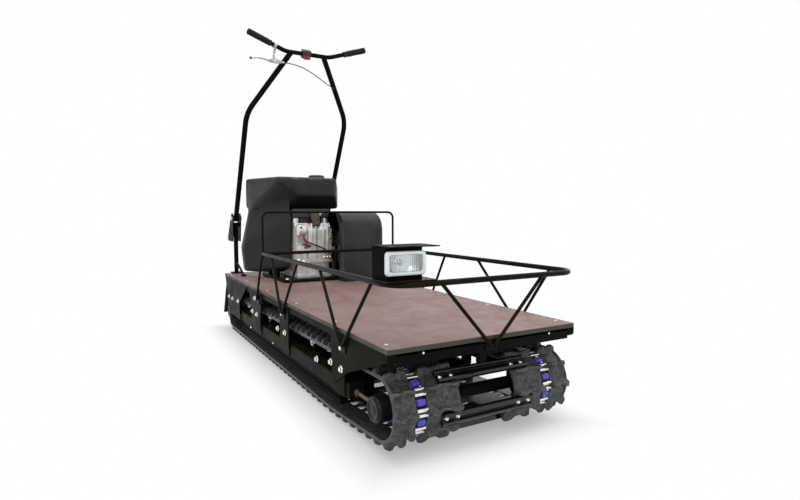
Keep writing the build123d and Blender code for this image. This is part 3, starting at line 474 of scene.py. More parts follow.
FLAP_RUBBER = Finish(
    "flap_smooth_rubber", (0.0085, 0.0085, 0.0085), (0.0140, 0.0138, 0.0132), rough=0.55,
    relief=Relief.RUBBER, relief_scale=420, relief_depth=0.00012, edge=0.002,
    wear=(0.060, 0.055, 0.048), dust_and_highlight=(0.050, 0.045, 0.038), dust_and_highlight_amount=0.4, specular=0.15)
TOOTH_BLUE = Finish(
    "sprocket_blue_violet", (0.060, 0.052, 0.420), (0.105, 0.095, 0.560), rough=0.38,
    drift_scale=40, relief=Relief.MOULDED, relief_scale=900, relief_depth=0.0001,
    wear=(0.30, 0.30, 0.66), dust_and_highlight=(0.16, 0.15, 0.30))
HUB_BLACK = Finish(
    "hub_black_plastic", (0.0062, 0.0062, 0.0066), (0.0105, 0.0105, 0.0108), rough=0.30,
    rough_drift=0.08, drift_scale=20, relief=Relief.MOULDED, relief_scale=800, relief_depth=0.0001,
    edge=0.002, dust_and_highlight=(0.034, 0.030, 0.024), specular=0.16)
SLIDE_PLASTIC = Finish(
    "slide_black_plastic", (0.0070, 0.0070, 0.0070), (0.0125, 0.0120, 0.0115), drift_scale=20,
    relief=Relief.MOULDED, relief_scale=700, relief_depth=0.00015, edge=0.002,
    dust_and_highlight=(0.030, 0.026, 0.021), specular=0.10)
# Its pale film on upward faces and top edges is a painted highlight, not dust.
TANK_BLACK = Finish(
    "tank_black_plastic", (0.0095, 0.0095, 0.0090), (0.0165, 0.0165, 0.0158), rough=0.36,
    rough_drift=0.08, drift_scale=7, relief=Relief.MOULDED, relief_scale=620, relief_depth=0.00035,
    edge=0.003, dust_and_highlight=(0.25, 0.25, 0.245), dust_and_highlight_amount=0.70, specular=0.24)
COVER_BLACK = Finish(
    "cover_satin_black", (0.0220, 0.0218, 0.0206), (0.0390, 0.0385, 0.0365), rough=0.32,
    rough_drift=0.08, drift_scale=6, relief_scale=420, edge=0.002, dust_and_highlight=(0.085, 0.080, 0.072),
    dust_and_highlight_amount=0.35, specular=0.26)
CAST_SILVER = Finish(
    "engine_cast_silver", (0.80, 0.80, 0.78), (0.52, 0.52, 0.50), rough=0.40, metal=0.75,
    drift_scale=22, relief=Relief.CAST, relief_scale=520, relief_depth=0.0006, edge=0.002,
    wear=(0.92, 0.92, 0.90), dust_and_highlight=(0.26, 0.235, 0.20), dust_and_highlight_amount=0.35)
CAST_GREY = Finish(
    "engine_cast_grey", (0.16, 0.16, 0.155), (0.24, 0.235, 0.225), rough=0.55, metal=0.5,
    drift_scale=14, relief=Relief.CAST, relief_scale=520, relief_depth=0.0006, edge=0.002,
    dust_and_highlight=(0.15, 0.13, 0.10), dust_and_highlight_amount=0.4)
SOOT_STEEL = Finish(
    "muffler_sooty_steel", (0.10, 0.075, 0.055), (0.20, 0.155, 0.115), rough=0.6, rough_drift=0.12,
    metal=0.8, drift_scale=16, relief=Relief.CAST, relief_depth=0.0005, edge=0.002)
CHROME = Finish(
    "lamp_mirror", (0.86, 0.87, 0.88), (0.78, 0.79, 0.80), rough=0.10, rough_drift=0.04, metal=1.0,
    drift_scale=30, relief_scale=300, relief_depth=0.0001, edge=0.001)
GRIP_RUBBER = Finish(
    "grip_ribbed_rubber", (0.0075, 0.0078, 0.0080), (0.0130, 0.0132, 0.0135), rough=0.55,
    rough_drift=0.08, drift_scale=30, relief=Relief.MOULDED, relief_scale=1500,
    relief_depth=0.00015, dust_and_highlight=(0.05, 0.048, 0.045), dust_and_highlight_amount=0.25, specular=0.2)
SWITCH_BLACK = Finish(
    "switch_black_plastic", (0.0150, 0.0150, 0.0150), (0.024, 0.024, 0.024), rough=0.42,
    rough_drift=0.08, drift_scale=30, relief=Relief.MOULDED, relief_scale=1500, relief_depth=0.0002,
    edge=0.0012, dust_and_highlight=(0.09, 0.085, 0.08), dust_and_highlight_amount=0.2)
SIGNAL_RED = Finish(
    "signal_red_plastic", (0.36, 0.014, 0.014), (0.27, 0.010, 0.011), rough=0.34, rough_drift=0.08,
    drift_scale=40, relief=Relief.MOULDED, relief_scale=1200, relief_depth=0.00015, edge=0.001,
    dust_and_highlight=(0.30, 0.10, 0.09))
LEVER_STEEL = Finish(
    "lever_satin_steel", (0.72, 0.72, 0.70), (0.46, 0.455, 0.44), rough=0.30, metal=0.9,
    drift_scale=30, relief=Relief.BRUSHED, relief_scale=600, relief_depth=0.00012, edge=0.001)
LAMP_BEZEL = Finish(
    "lamp_pale_bezel", (0.78, 0.82, 0.81), (0.68, 0.73, 0.72), rough=0.24, rough_drift=0.06,
    drift_scale=30, relief=Relief.MOULDED, relief_scale=1500, relief_depth=0.0001, edge=0.001,
    dust_and_highlight=(0.40, 0.40, 0.38), dust_and_highlight_amount=0.25)
HOUSING_BLACK = Finish(
    "lamp_housing_black", (0.0032, 0.0032, 0.0030), (0.0055, 0.0054, 0.0050), rough_drift=0.08,
    drift_scale=20, relief_scale=500, relief_depth=0.0002, edge=0.001, dust_and_highlight=(0.12, 0.115, 0.10),
    dust_and_highlight_amount=0.6, specular=0.01)
INTAKE_BROWN = Finish(
    "intake_brown_rubber", (0.060, 0.050, 0.040), (0.090, 0.077, 0.062), rough=0.55, drift_scale=24,
    relief=Relief.RUBBER, relief_scale=500, relief_depth=0.0004)
CABLE_BLACK = Finish(
    "cable_jacket_black", (0.0130, 0.0130, 0.0130), (0.0220, 0.0215, 0.0210), rough=0.45,
    rough_drift=0.08, drift_scale=60, relief=Relief.MOULDED, relief_scale=2200, relief_depth=0.0001,
    edge=0.0005, dust_and_highlight=(0.09, 0.085, 0.08), dust_and_highlight_amount=0.2)


def white_rays(tree: bpy.types.NodeTree) -> Socket:
    """Tell the rays that find plain white: from the camera, from gloss and through glass.

    Args:
        tree: The node tree of the world or the floor.

    Returns:
        A value that is 1 for such a ray.
    """
    path = tree.nodes.new("ShaderNodeLightPath")
    share = path.outputs["Is Camera Ray"]
    for ray in ("Is Glossy Ray", "Is Transmission Ray"):
        either = tree.nodes.new("ShaderNodeMath")
        either.operation = "MAXIMUM"
        tree.links.new(share, either.inputs[0])
        tree.links.new(path.outputs[ray], either.inputs[1])
        share = either.outputs[0]
    return share


@dataclass
class Studio:
    """The pale floor, the soft lamps and the camera at the photograph's angle."""

    camera_at: Point = (2.2569, -1.0043, 0.7017)
    camera_way: Point = (-0.8648, 0.4968, -0.0727)
    lens_mm: float = 23.81
    floor_half: float = 40.0
    shade_x: float = 0.98
    shade_y: float = 0.30
    fade_over: float = 0.20
    floor_white: float = 0.34
    floor_dark: Colour = (0.80, 0.80, 0.80)
    floor_pale: Colour = (0.83, 0.83, 0.83)
    world_level: float = 0.62
    world_tint: Colour = (0.94, 0.97, 1.0)
    lamps: tuple[tuple[str, Point, Point, float, float], ...] = (
        ("overhead_lamp", (0.4, -0.3, 4.6), (0, 0, 0.3), 4.5, 85),
        ("front_lamp", (4.2, -2.6, 2.6), (0.2, 0, 0.4), 2.4, 55),
        ("left_lamp", (1.5, 4.0, 2.4), (0, 0, 0.4), 2.4, 30))

    def world(self) -> None:
        """Light the scene from a pale sky that shows as white behind the machine."""
        world = bpy.data.worlds.new("pale_room")
        bpy.context.scene.world = world
        world.use_nodes = True
        nodes, links = world.node_tree.nodes, world.node_tree.links
        nodes.clear()
        seen = nodes.new("ShaderNodeBackground")
        seen.inputs["Color"].default_value = (1, 1, 1, 1)
        lit = nodes.new("ShaderNodeBackground")
        lit.inputs["Color"].default_value = (*self.world_tint, 1)
        lit.inputs["Strength"].default_value = self.world_level
        mix = nodes.new("ShaderNodeMixShader")
        links.new(white_rays(world.node_tree), mix.inputs[0])
        links.new(lit.outputs[0], mix.inputs[1])
        links.new(seen.outputs[0], mix.inputs[2])
        links.new(mix.outputs[0], nodes.new("ShaderNodeOutputWorld").inputs["Surface"])

    def floor(self) -> None:
        """Lay the floor, which fades into white away from the machine; in a box round its footprint
        less white is mixed in, so the lit floor keeps the real shadow and is dimmed there by
        painted shade.
        """
        mesh = bpy.data.meshes.new("floor")
        half = self.floor_half
        outline = [(-half, -half, 0), (half, -half, 0), (half, half, 0), (-half, half, 0)]
        mesh.from_pydata(outline, [], [(0, 1, 2, 3)])
        floor = bpy.data.objects.new("floor", mesh)
        bpy.context.collection.objects.link(floor)
        tree = Tree("pale_floor")
        paint = tree.node("BsdfDiffuse")
        tone = tree.mix(tree.noise(6, 5), self.floor_dark, self.floor_pale)
        tree.feed(paint.inputs["Color"], tone)
        white = tree.node("Emission")
        white.inputs["Color"].default_value = (1, 1, 1, 1)
        white.inputs["Strength"].default_value = 1.0
        # Painted shade: inside a box round the machine's footprint the floor shows only floor_white
        # of plain white, so it is darker there even where no shadow falls; the real shadow also
        # shows there.
        ahead, beside = (
            tree.sum("SUBTRACT", tree.sum("ABSOLUTE", tree.coordinate(axis)), reach)
            for axis, reach in (("X", self.shade_x), ("Y", self.shade_y)))
        outside = tree.sum("MAXIMUM", ahead, beside)
        fade = tree.span(outside, 0.0, self.fade_over, self.floor_white, 1.0)
        seen = tree.sum("MULTIPLY", fade, white_rays(tree.material.node_tree))
        mix = tree.node("MixShader")
        tree.links.new(seen, mix.inputs[0])
        tree.links.new(paint.outputs[0], mix.inputs[1])
        tree.links.new(white.outputs[0], mix.inputs[2])
        tree.links.new(mix.outputs[0], tree.output.inputs["Surface"])
        mesh.materials.append(tree.material)

    def lamp(self, name: str, at: Point, aim: Point, size: float, power: float) -> None:
        """Hang a soft square lamp.

        Args:
            name: The lamp's name.
            at: Where it hangs.
            aim: What it points at.
            size: The side of its square, in metres.
            power: Its power in watts.
        """
        light = bpy.data.lights.new(name, "AREA")
        light.size = size
        light.energy = power
        lamp = bpy.data.objects.new(name, light)
        lamp.location = at
        lamp.rotation_euler = (Vector(aim) - Vector(at)).to_track_quat("-Z", "Y").to_euler()
        bpy.context.collection.objects.link(lamp)

    def camera(self) -> None:
        """Set up the camera and make it the scene's own."""
        lens = bpy.data.cameras.new("photo_camera")
        lens.sensor_fit = "HORIZONTAL"
        lens.sensor_width = 36.0
        lens.lens = self.lens_mm
        lens.clip_start = 0.01
        camera = bpy.data.objects.new("photo_camera", lens)
        camera.location = self.camera_at
        camera.rotation_euler = Vector(self.camera_way).to_track_quat("-Z", "Y").to_euler()
        bpy.context.collection.objects.link(camera)
        bpy.context.scene.camera = camera

    def build(self) -> None:
        """Set up the whole studio."""
        bpy.context.scene.view_settings.view_transform = "Standard"
        self.world()
        self.floor()
        for lamp in self.lamps:
            self.lamp(*lamp)
        self.camera()


DECK_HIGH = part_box("deck_board")[1]
SIDES = (-1, 1)
LEAN = math.radians(28.0)
PIVOT_BACK = 1986.0
PIVOT_Z = 0.660
WELD = 1e-5
FLAT_ANGLE = math.radians(0.8)
HARD_ANGLE = math.radians(26)


def behind(back: float) -> float:
    """Give the X of a point this many millimetres behind the deck's front edge."""
    return DECK_HIGH[0] - back / 1000


def corners(node: str) -> tuple[Vector, Vector]:
    """Give the lowest and the highest corner of a node's box."""
    low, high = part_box(node)
    return Vector(low), Vector(high)


def middle(node: str) -> Vector:
    """Give the middle of a node's box."""
    low, high = corners(node)
    return (low + high) / 2


def lean_point(y: float, t: float, out: float) -> Vector:
    """Give a point in the handlebar's leaning plane.

    Args:
        y: Place across the machine.
        t: Distance up the lean from the pivot.
        out: Distance in front of the plane.

    Returns:
        The point.
    """
    return Vector((behind(PIVOT_BACK) + t * math.sin(LEAN) + out * math.cos(LEAN), y,
                   PIVOT_Z + t * math.cos(LEAN) - out * math.sin(LEAN)))


class Shape:
    """A mesh in the making: closed parts in several finishes that end up as one piece."""

    WASHER = ((0, 1.2), (0.16, 1.2), (0.22, 1.1), (0.24, 0.98), (0.36, 0.90))
    HEAD = ((0, 0.86), (0.42, 0.86), (0.54, 0.72), (0.57, 0.4))
    HEAD_LIFT = 0.3

    def __init__(self) -> None:
        """Start with an empty mesh."""
        self.mesh = bmesh.new()

    def loft(self, rings: Sequence[Sequence[Place]], finish: int = 0,
             loop: bool = False) -> None:
        """Join rings of points into a closed skin.

        Args:
            rings: Rings with the same count of points.
            finish: Number of the finish that the skin takes.
            loop: Whether the last ring joins the first; otherwise both ends are capped.
        """
        made = [[self.mesh.verts.new(point) for point in ring] for ring in rings]
        for here, there in zip(made, made[1:] + (made[:1] if loop else [])):
            for i, corner in enumerate(here):
                j = (i + 1) % len(here)
                self.mesh.faces.new((corner, here[j], there[j], there[i])).material_index = finish
        if not loop:
            for ring in (made[0], made[-1]):
                self.mesh.faces.new(ring).material_index = finish

    def turned(self, at: Place, way: Place, profile: Sequence[tuple[float, float]],
               finish: int = 0, sides: int = 28) -> None:
        """Turn a profile round an axis, as on a lathe.

        Args:
            at: Where the axis starts.
            way: The axis direction.
            profile: Rows of distance along the axis and radius.
            finish: Number of the finish.
            sides: Count of sides.
        """
        axis = Vector(way).normalized()
        first = axis.orthogonal().normalized()
        second = axis.cross(first)
        turns = [TURN * i / sides for i in range(sides)]
        spokes = [first * math.cos(turn) + second * math.sin(turn) for turn in turns]
        self.loft([[Vector(at) + axis * reach + spoke * radius for spoke in spokes]
                   for reach, radius in profile], finish)

    def tube(self, points: Sequence[Place], radius: float, finish: int = 0, sides: int = 12,
             loop: bool = False) -> None:
        """Sweep a round section along points.

        Args:
            points: The line that the tube follows.
            radius: The tube's radius.
            finish: Number of the finish.
            sides: Count of sides.
            loop: Whether the line closes on itself.
        """
        line = [Vector(point) for point in points]
        count = len(line)
        rings = []
        first = None
        for i, point in enumerate(line):
            before = line[i - 1] if i or loop else point
            after = line[(i + 1) % count] if i < count - 1 or loop else point
            axis = (after - before).normalized()
            first = axis.orthogonal() if first is None else first - axis * first.dot(axis)
            first.normalize()
            second = axis.cross(first)
            rings.append([point + (first * math.cos(TURN * k / sides)
                                   + second * math.sin(TURN * k / sides)) * radius
                          for k in range(sides)])
        self.loft(rings, finish, loop)

    def slab(self, at: Place, size: Place, soft: float = 0.001, finish: int = 0,
             turn: Matrix | None = None) -> None:
        """Add a block with rounded edges.

        Args:
            at: Its middle.
            size: Its sizes along its own axes.
            soft: Radius of its edges.
            finish: Number of the finish.
            turn: Its turn, as a four by four matrix.
        """
        place = Matrix.Translation(at) @ (turn or Matrix.Identity(4)) @ Matrix.Diagonal((*size, 1))
        ends = bmesh.ops.create_cube(self.mesh, size=1.0, matrix=place)["verts"]
        for face in {face for end in ends for face in end.link_faces}:
            face.material_index = finish
        edges = list(dict.fromkeys(edge for end in ends for edge in end.link_edges))
        bmesh.ops.bevel(self.mesh, geom=edges, offset=soft, segments=2, profile=0.5, affect="EDGES",
                        clamp_overlap=True, material=-1)

    def bolt(self, at: Place, way: Place, size: float, finish: int = 0) -> None:
        """Add a washer and a flanged hexagon head.

        Args:
            at: Where the washer sits.
            way: The direction that the head faces.
            size: The thread's diameter.
            finish: Number of the finish.
        """
        up = Vector(way).normalized()
        for start, form, sides in ((Vector(at), self.WASHER, 18),
                                   (Vector(at) + up * self.HEAD_LIFT * size, self.HEAD, 6)):
            self.turned(start, up, [(along * size, radius * size) for along, radius in form],
                        finish, sides)

    def done(self, name: str, slot: str, finishes: Sequence[Surface],
             replaces: Sequence[str] = (), crease: float = 38.0,
             body: Body = Body.CHASSIS) -> bpy.types.Object:
        """Make the piece, dress it and tie it to its body.

        Args:
            name: The piece's name.
            slot: The record's material slot; not used.
            finishes: The finishes, in the order of their numbers.
            replaces: Solids that the piece stands for.
            crease: Angle in degrees from which an edge stays sharp.
            body: The body that it rides on.

        Returns:
            The piece.
        """
        bmesh.ops.recalc_face_normals(self.mesh, faces=self.mesh.faces[:])
        data = bpy.data.meshes.new(name)
        self.mesh.to_mesh(data)
        self.mesh.free()
        data.shade_smooth()
        data.set_sharp_from_angle(angle=math.radians(crease))
        for finish in finishes:
            data.materials.append(finish.material())
        piece = bpy.data.objects.new(name, data)
        bpy.context.collection.objects.link(piece)
        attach(piece, body.value)
        if replaces:
            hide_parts(*replaces)
        log.info("made %s with %d faces", name, len(data.polygons))
        return piece


@dataclass(frozen=True)
class Softened:
    """A solid whose hard edges are rounded, in a piece that stands for it."""

    node: str
    slot: str
    finish: Surface
    radius: float = 0.002
    body: Body = Body.CHASSIS
    steps: int = 3

    def build(self) -> None:
        """Copy the solid's mesh, round its edges and make the piece."""
        shape = Shape()
        shape.mesh.from_mesh(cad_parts[self.node].data)
        bmesh.ops.remove_doubles(shape.mesh, verts=shape.mesh.verts[:], dist=WELD)
        bmesh.ops.dissolve_limit(shape.mesh, angle_limit=FLAT_ANGLE, verts=shape.mesh.verts[:],
                                 edges=shape.mesh.edges[:])
        for face in shape.mesh.faces:
            face.material_index = 0
        hard = [edge for edge in shape.mesh.edges
                if len(edge.link_faces) == 2 and edge.calc_face_angle(0.0) > HARD_ANGLE]
        bmesh.ops.bevel(shape.mesh, geom=hard, offset=self.radius, segments=self.steps, profile=0.5,
                        affect="EDGES", clamp_overlap=True, material=-1)
        piece = shape.done(self.node + "_soft", self.slot, [self.finish], [self.node], 60.0,
                           self.body)
        even = piece.modifiers.new("even_light", "WEIGHTED_NORMAL")
        even.keep_sharp = True
        even.weight = 80


@dataclass
class TrackPath:
    """The line that the track follows round its wheels, measured from the idler on backwards."""

    wheel_radius: float = 0.087
    belt: float = 0.008
    teeth: int = 10
    shoe_lead: float = 0.006
    runs: list[tuple[Vector, Vector, float, float, float]] = field(default_factory=list)
    length: float = 0.0
    links: int = 0
    pitch: float = 0.0

    def __post_init__(self) -> None:
        """Work out the arcs, the straight runs and the link pitch."""
        idler, drive = middle("idler_axle"), middle("drive_axle")
        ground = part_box("slide_shoes")[1][0] + self.shoe_lead
        centres = [Vector((idler.x, idler.z)), Vector((ground, drive.z)),
                   Vector((drive.x, drive.z))]
        radius = self.wheel_radius + self.belt / 2
        for i, here in enumerate(centres):
            came, goes = here - centres[i - 1], centres[(i + 1) % 3] - here
            arriving, leaving = math.atan2(came.y, came.x), math.atan2(goes.y, goes.x)
            sweep = (arriving - leaving) % (TURN)
            self.runs.append((here, goes.normalized(), arriving + math.pi / 2, goes.length, sweep))
            self.length += goes.length + sweep * radius
        self.links = 3 * round(self.length / (TURN * radius / self.teeth) / 3)
        self.pitch = self.length / self.links

    def lugs(self) -> list[float]:
        """Give the distances of the lugs' middles along the track."""
        return [(link + 0.5) * self.pitch for link in range(self.links)]

    def at(self, distance: float, rise: float, y: float) -> Vector:
        """Give a point on the track.

        Args:
            distance: How far along the belt's middle line.
            rise: Height above the belt's outer face.
            y: Place across the machine.

        Returns:
            The point.
        """
        return self.place(distance, rise, y)[0]

    def place(self, distance: float, rise: float, y: float) -> tuple[Vector, Vector]:
        """Give a point on the track and the direction out of the belt there.

        Args:
            distance: How far along the belt's middle line.
            rise: Height above the belt's outer face.
            y: Place across the machine.

        Returns:
            The point and the outward direction.
        """
        left = distance % self.length
        radius = self.wheel_radius + self.belt / 2
        base, angle = self.runs[0][0], 0.0
        for start, step, normal, length, sweep in self.runs:
            if left <= sweep * radius:
                base, angle = start, normal - left / radius
                break
            left -= sweep * radius
            if left <= length:
                base, angle = start + step * left, normal - sweep
                break
            left -= length
        out = Vector((math.cos(angle), 0, math.sin(angle)))
        reach = self.wheel_radius + self.belt + rise
        return Vector((base.x, y, base.y)) + out * reach, out


@dataclass(frozen=True)
class Strip:
    """One lugged strip of a belt: its edges and its lugs' form from one edge to the other."""

    from_y: float
    to_y: float
    stations: Rows

    def y(self, across: float) -> float:
        """Give the place across the machine of a share of the strip's width."""
        return self.from_y + (self.to_y - self.from_y) * across


@dataclass
class Track:
    """Both belts with lugs, bridges and clips, the cross bars and the toothed wheels."""

    path: TrackPath = field(default_factory=TrackPath)
    lug_height: float = 0.0246
    lug_form: Rows = (
        (-0.0215, 0.0), (-0.0112, 0.0), (-0.0086, 0.10), (-0.0038, 0.95), (-0.0026, 1.0),
        (0.0026, 1.0), (0.0038, 0.95), (0.0086, 0.10), (0.0112, 0.0), (0.0215, 0.0))
    tip_half: float = 0.0032
    tip_form: Rows = ((-1, -0.0018), (-0.6, 0.0004), (0.6, 0.0004), (1, -0.0018))
    strips: tuple[Strip, Strip] = (
        Strip(0.326, 0.254, (
            (0, 0.36, 0, -1.0), (0.025, 0.44, 0, 4.0), (0.085, 0.60, 0.5, 4.0), (0.115, 0.80, 1, 0),
            (0.22, 1, 3.0, 0), (0.35, 0.95, 1, 0), (0.46, 0.55, -3.0, 0), (0.58, 0.57, -3.0, 0),
            (0.70, 0.95, 1, 0), (0.84, 1, 3.0, 0), (0.94, 0.84, 0.5, 0), (1, 0.50, 0, -1.4))),
        Strip(0.218, 0.104, (
            (0, 0.50, 0, -1.4), (0.03, 0.88, 1, 0), (0.14, 1, 3, 0), (0.24, 0.90, 1, 0),
            (0.34, 0.62, -2, 0), (0.46, 0.58, -3, 0), (0.56, 0.62, -2, 0), (0.68, 0.92, 1, 0),
            (0.80, 1, 3, 0), (0.92, 0.95, 1, 0), (0.97, 0.80, 0, 0), (1, 0.50, 0, -1.4))))
    bridge_half: float = 0.012
    bridge_lap: float = 0.004
    bridge_rise: tuple[float, float] = (-0.007, -0.001)
    clip_form: Rows = (
        (2.9, -5.5), (2.9, 1.6), (3.7, 3.0), (6.0, 4.0), (8.8, 3.9), (11.2, 2.6), (12.6, 0.4),
        (13.0, -2.6), (12.6, -5.5))
    clip_y: tuple[float, float] = (0.2535, 0.2185)
    bar_bolt_y: tuple[float, float] = (0.155, 0.115)
    bar_bolt: float = 0.006
    bar_base: float = 0.005
    bar_form: Rows = ((0, 0), (0, 0.014), (0.002, 0.015), (0.007, 0.015), (0.009, 0.013),
                      (0.010, 0.005))
    bar_width: float = 0.035
    bar_half: float = 0.169
    bar_end: float = 0.003
    tooth_y: float = 0.236
    tooth_reach: float = 0.0895
    tooth_size: Point = (0.017, 0.026, 0.019)
    tooth_soft: float = 0.004
    spoke_reach: float = 0.052
    spoke_size: Point = (0.044, 0.016, 0.020)
    spoke_soft: float = 0.003
    wheel_rings: Rows = ((0.0201, 0.034, 0.017), (0.068, 0.0865, 0.012))
    ring_edge: float = 0.0015
    ring_sides: int = 60

    def belt(self, side: int, name: str) -> None:
        """Build one belt.

        Args:
            side: -1 for the right, 1 for the left.
            name: The end of its name.
        """
        shape = Shape()
        path = self.path
        for strip in self.strips:
            rings = []
            for lug in path.lugs():
                for offset, share in self.lug_form:
                    ring = []
                    for across, tall, shift, base in strip.stations:
                        along = lug + offset + shift * share / 1000
                        rise = base / 1000 + tall * share * self.lug_height
                        ring.append(path.at(along, rise, side * strip.y(across)))
                    for y in (strip.to_y, strip.from_y):
                        ring.append(path.at(lug + offset, -path.belt, side * y))
                    rings.append(ring)
            shape.loft(rings, loop=True)
            for lug in path.lugs():
                self.add_tip(shape, strip, side, lug)
        low = self.strips[1].from_y - self.bridge_lap
        high = self.strips[0].to_y + self.bridge_lap
        under, over = self.bridge_rise
        section = ((low, over), (high, over), (high, under), (low, under))
        for lug in path.lugs():
            shape.loft([[path.at(lug + offset, rise, side * y) for y, rise in section]
                        for offset in (-self.bridge_half, 0, self.bridge_half)])
        shape.done("belt_rubber_" + name, "belt_rubber", [RUBBER, WORN_RUBBER],
                   ["track_belt_" + name])

    def add_tip(self, shape: Shape, strip: Strip, side: int, lug: float) -> None:
        """Add the worn crown of one lug.

        Args:
            shape: The belt's mesh.
            strip: The strip that the lug is on.
            side: -1 for the right, 1 for the left.
            lug: Distance of the lug's middle along the track.
        """
        rings = []
        for across, tall, shift, base in strip.stations[1:-1]:
            crest, top = lug + shift / 1000, base / 1000 + tall * self.lug_height
            rings.append([self.path.at(crest + share * self.tip_half, top + rise,
                                       side * strip.y(across))
                          for share, rise in self.tip_form])
        shape.loft(rings, 1)

    def clips(self, side: int, name: str) -> None:
        """Build the bright clips that wrap both ends of each bridge.

        Args:
            side: -1 for the right, 1 for the left.
            name: The end of the piece's name.
        """
        shape = Shape()
        path = self.path
        for lug in path.lugs():
            for way in SIDES:
                shape.loft([[path.at(lug + way * along / 1000, rise / 1000, side * y)
                             for along, rise in self.clip_form] for y in self.clip_y])
        shape.done("belt_clips_" + name, "steel", [CLIP_STEEL], crease=45)

    def bars(self) -> None:
        """Build the ribbed cross bars on every second window, and their bolts."""
        bars, bolts = Shape(), Shape()
        section = [(inward - self.bar_width / 2, rise) for inward, rise in self.bar_form]
        section += [(-along, rise) for along, rise in reversed(section)]
        end = self.bar_half - self.bar_end
        for link in range(1, self.path.links, 2):
            window = link * self.path.pitch
            bars.loft([[self.path.at(window + along, rise, y) for along, rise in section]
                       for y in (-self.bar_half, -end, end, self.bar_half)])
            for y in (*self.bar_bolt_y, *(-y for y in self.bar_bolt_y)):
                bolts.bolt(*self.path.place(window, self.bar_base, y), self.bar_bolt)
        bars.done("cross_bars_ribbed", "bar_steel", [BAR_BLACK], ["track_cross_bars"])
        bolts.done("cross_bar_bolts", "steel", [ZINC])

    def sprockets(self, name: str) -> None:
        """Build the toothed wheels of one axle, with their teeth in the belts' windows.

        Args:
            name: Name of the axle: idler or drive.
        """
        shape = Shape()
        axle = middle(name + "_axle")
        path = self.path
        hub = Vector((axle.x, 0, axle.z))
        windows = (path.place(link * path.pitch, -path.wheel_radius - path.belt, 0.0)
                   for link in range(path.links))
        start = next(math.atan2(out.z, out.x) for at, out in windows if (at - hub).length < 0.001)
        for side in SIDES:
            centre = Vector((axle.x, side * self.tooth_y, axle.z))
            for form in self.wheel_rings:
                self.ring(shape, centre, *form)
            for i in range(path.teeth):
                angle = start + TURN * i / path.teeth
                turn = Matrix.Rotation(-angle, 4, "Y")
                out = Vector((math.cos(angle), 0, math.sin(angle)))
                shape.slab(centre + out * self.tooth_reach, self.tooth_size, self.tooth_soft, 0,
                           turn)
                if i % 2 == 0:
                    shape.slab(centre + out * self.spoke_reach, self.spoke_size, self.spoke_soft,
                               1, turn)
        shape.done(name + "_sprockets_toothed", "sprocket_plastic", [TOOTH_BLUE, HUB_BLACK],
                   [name + "_sprockets"])

    def ring(self, shape: Shape, centre: Vector, inner: float, outer: float,
             half: float) -> None:
        """Add one ring of a toothed wheel.

        Args:
            shape: The wheel's mesh.
            centre: The wheel's middle.
            inner: The ring's inner radius.
            outer: Its outer radius.
            half: Half its width.
        """
        edge = self.ring_edge
        form = ((-half, inner + edge), (-half, outer - edge), (-half + edge, outer),
                (half - edge, outer), (half, outer - edge), (half, inner + edge),
                (half - edge, inner), (-half + edge, inner))
        turns = [TURN * i / self.ring_sides for i in range(self.ring_sides)]
        shape.loft([[(centre.x + radius * math.cos(turn), centre.y + along,
                      centre.z + radius * math.sin(turn)) for along, radius in form]
                    for turn in turns], 1, True)

    def build(self) -> None:
        """Build both belts and what is fixed to them."""
        for side, name in ((-1, "right"), (1, "left")):
            self.belt(side, name)
            self.clips(side, name)
        self.bars()
        for name in ("idler", "drive"):
            self.sprockets(name)


